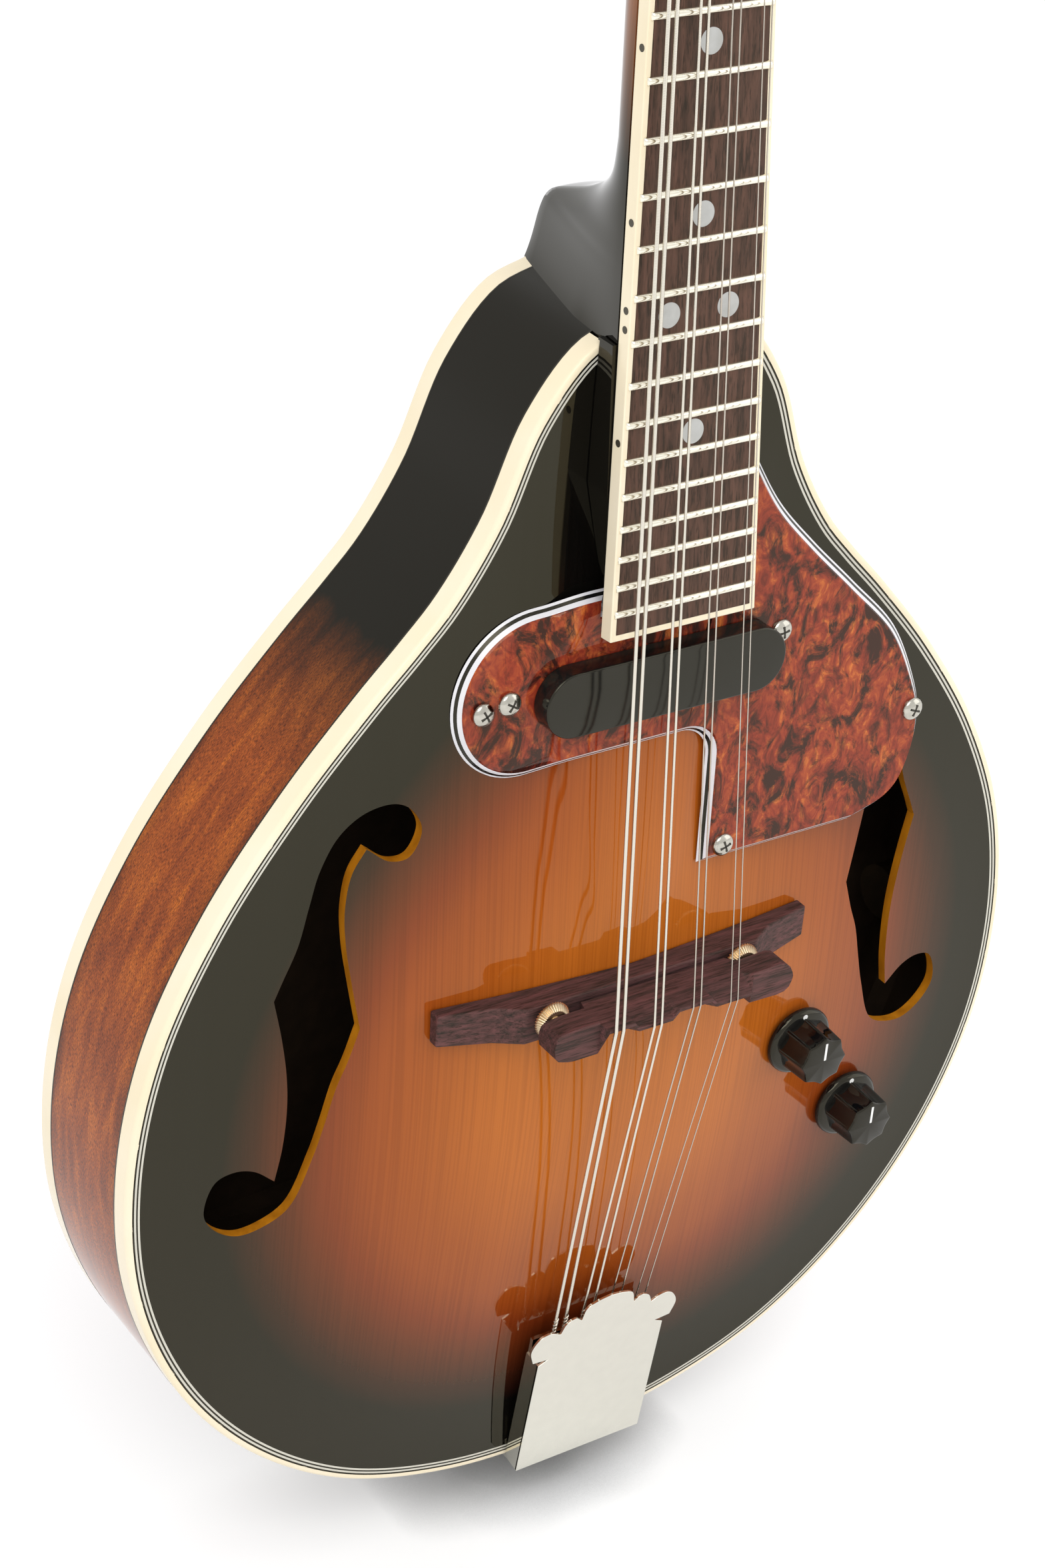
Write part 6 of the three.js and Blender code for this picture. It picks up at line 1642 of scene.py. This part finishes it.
def make_screws():
    heads, slots = [], []
    dome = [(SCREW_RADIUS * math.cos(a), SCREW_RIM + (SCREW_HEIGHT - SCREW_RIM) * math.sin(a))
            for a in (math.pi / 2 * i / SCREW_ARC_STEPS for i in range(1, SCREW_ARC_STEPS))]
    profile = [(AXIS, 0), (SCREW_RADIUS, 0), (SCREW_RADIUS, SCREW_RIM), *dome, (AXIS, SCREW_HEIGHT)]
    across, along = GUARD_BEND_SHIFT_shares
    for i, (x, y) in enumerate(GUARD_SCREWS):
        drop = guard_drop(x, y)
        x, y, seat = x + across * drop, y + along * drop, GUARD_THICKNESS - drop
        heads.append(moved(revolve(profile, SCREW_SIDES), x, y, seat))
        for quarter in (0, math.pi / 2):
            a = SCREW_TURN + SCREW_TURN_STEP * i + quarter
            length = Vector((math.cos(a), math.sin(a))) * SCREW_SLOT_REACH
            width = Vector((-math.sin(a), math.cos(a))) * SCREW_SLOT_HALF_WIDTH
            corners = [Vector((x, y)) + s * length + t * width for s, t in ((-1, -1), (1, -1), (1, 1), (-1, 1))]
            # Each cross is a dark prism standing just proud of the dome: painted shade in the hollow recess
            slots.append(prism(corners, seat + SCREW_HEIGHT * SCREW_SLOT_FLOOR_share,
                               seat + SCREW_HEIGHT + PAINT / 4))
    piece("pickguard_screws", *together(*heads), "screw", GUARD, sharp=60)
    piece("pickguard_screw_recesses", *together(*slots), "blank", GUARD)


# Knobs

def make_knobs():
    def flutes(angle, z):
        if z <= KNOB_SKIRT_HEIGHT:
            return 1
        return 1 - KNOB_FLUTE_DEPTH_share * abs(math.sin(KNOB_FLUTES * angle / 2))

    skirt_top = KNOB_SKIRT_RADIUS - KNOB_SKIRT_TOP_INSET
    skirt = turned([(KNOB_SKIRT_RADIUS - KNOB_SKIRT_ROUNDING, 0), (KNOB_SKIRT_RADIUS, KNOB_SKIRT_ROUNDING),
                    (KNOB_SKIRT_RADIUS, KNOB_SKIRT_HEIGHT * KNOB_SKIRT_WALL_share),
                    (KNOB_SKIRT_RADIUS - KNOB_SKIRT_SHOULDER, KNOB_SKIRT_HEIGHT * KNOB_SKIRT_SHOULDER_share),
                    (skirt_top, KNOB_SKIRT_HEIGHT)], KNOB_SIDES)
    crown = [(KNOB_TOP_RADIUS - inset, KNOB_HEIGHT - drop) for inset, drop in KNOB_CROWN]
    cap = turned([(KNOB_BASE_RADIUS, KNOB_SKIRT_HEIGHT - KNOB_CAP_SINK),
                  (KNOB_BASE_RADIUS, KNOB_SKIRT_HEIGHT + KNOB_CAP_START), *crown], KNOB_SIDES, flutes)
    half, reach = POINTER_WIDTH / 2, KNOB_TOP_RADIUS - POINTER_INSET
    pointer = prism([(-half, POINTER_START), (half, POINTER_START), (half, reach), (-half, reach)],
                    KNOB_HEIGHT, KNOB_HEIGHT + PAINT)
    dot = moved(disc(KNOB_DOT_RADIUS, 0, PAINT, KNOB_DOT_SIDES), 0, (skirt_top + KNOB_BASE_RADIUS) / 2,
                KNOB_SKIRT_HEIGHT)
    for name, (x, y) in KNOB_PLACES.items():
        seat = top_at(x, y) + KNOB_CLEARANCE
        piece(f"{name}_knob_body", *moved(together(skirt, cap), x, y, seat), "plastic", body=name,
              stands_for=[f"{name}_knob"], sharp=40)
        piece(f"{name}_knob_marks", *moved(together(pointer, dot), x, y, seat), "paint", body=name)


def dress_cad():
    """CAD nodes whose shapes are right as they are."""
    for name, (finish, edge) in DRESSED.items():
        dress(name, finish, edge)


# Stage, light and camera

def seen_directly(tree):
    """1 for the camera's rays and for those that mirrors and glass send on."""
    ray = node(tree, "ShaderNodeLightPath")
    mirrored_ray = math_node(tree, "MAXIMUM", ray.outputs["Is Glossy Ray"], ray.outputs["Is Transmission Ray"])
    return math_node(tree, "MAXIMUM", ray.outputs["Is Camera Ray"], mirrored_ray)


def make_stage():
    """A pale floor that shows white to the camera and in mirrors, keeps the shadow and adds a painted shadow close
    under the object.
    """
    mesh = bpy.data.meshes.new("floor")
    corners = [(x * FLOOR_REACH, y * FLOOR_REACH, 0) for x, y in ((-1, -1), (1, -1), (1, 1), (-1, 1))]
    mesh.from_pydata(corners, [], [(0, 1, 2, 3)])
    made = bpy.data.materials.new("pale_floor")
    made.use_nodes = True
    tree = made.node_tree
    tree.nodes.clear()
    out = node(tree, "ShaderNodeOutputMaterial")
    pale = node(tree, "ShaderNodeBsdfDiffuse")
    lift = node(tree, "ShaderNodeEmission")
    seen = seen_directly(tree)
    # Painted shadow: the floor's colour and its lift darken close under the object, by how much of the space
    # within reach the object fills
    openness = node(tree, "ShaderNodeAmbientOcclusion", samples=8)
    openness.inputs["Distance"].default_value = FLOOR_SHADE_REACH * MM
    near = math_node(tree, "POWER", openness.outputs["AO"], 2)
    painted_shadow_colour = ramp(tree, near, [(0, (0.12, 0.12, 0.12)), (1, (0.80, 0.80, 0.80))])
    tree.links.new(painted_shadow_colour, pale.inputs["Color"])
    strength = math_node(tree, "MULTIPLY", math_node(tree, "MULTIPLY", seen, 0.25), near)
    tree.links.new(strength, lift.inputs["Strength"])
    total = node(tree, "ShaderNodeAddShader")
    tree.links.new(pale.outputs[0], total.inputs[0])
    tree.links.new(lift.outputs[0], total.inputs[1])
    tree.links.new(total.outputs[0], out.inputs["Surface"])
    mesh.materials.append(made)
    floor = bpy.data.objects.new("floor", mesh)
    bpy.context.scene.collection.objects.link(floor)


def make_world():
    world = bpy.data.worlds.new("studio")
    bpy.context.scene.world = world
    world.use_nodes = True
    tree = world.node_tree
    background = tree.nodes["Background"]
    seen = seen_directly(tree)
    level = mix(tree, seen, (0.92, 0.92, 0.93), (1, 1, 1))
    tree.links.new(level, background.inputs["Color"])


def add_area(name, place, size, power):
    light = bpy.data.lights.new(name, "AREA")
    light.shape = "RECTANGLE"
    light.size, light.size_y = size
    light.energy = power
    made = bpy.data.objects.new(name, light)
    made.location = place
    made.rotation_mode = "QUATERNION"
    made.rotation_quaternion = (Vector(LIGHT_AIM) - Vector(place)).to_track_quat("-Z", "Y")
    bpy.context.scene.collection.objects.link(made)


def make_camera():
    """The photograph's view: a lens of this focal length in pixels, turned and rolled as measured."""
    azimuth, elevation, roll = map(math.radians, (CAMERA_AZIMUTH, CAMERA_ELEVATION, CAMERA_ROLL))
    forward = Vector((math.sin(azimuth) * math.cos(elevation), math.cos(azimuth) * math.cos(elevation),
                      math.sin(elevation)))
    camera = bpy.data.cameras.new("camera")
    camera.sensor_width = SENSOR_WIDTH
    camera.lens = FOCAL_PIXELS * SENSOR_WIDTH / IMAGE_HEIGHT
    camera.clip_start = CAMERA_CLIP * MM
    made = bpy.data.objects.new("camera", camera)
    made.location = Vector(CAMERA_PLACE) * MM
    made.rotation_mode = "QUATERNION"
    made.rotation_quaternion = forward.to_track_quat("-Z", "Y") @ Matrix.Rotation(roll, 4, "Z").to_quaternion()
    bpy.context.scene.collection.objects.link(made)
    bpy.context.scene.camera = made


make_soundboard()
make_back()
make_rim()
make_bindings()
make_fingerboard()
make_neck()
make_tuners()
make_strings()
make_bridge()
make_saddle()
make_thumbwheels()
make_tailpiece()
make_pickguard()
make_pickup()
make_screws()
make_knobs()
dress_cad()
make_stage()
make_world()
for light_name, settings in LIGHTS.items():
    add_area(light_name, *settings)
make_camera()
bpy.context.scene.view_settings.view_transform = "Standard"
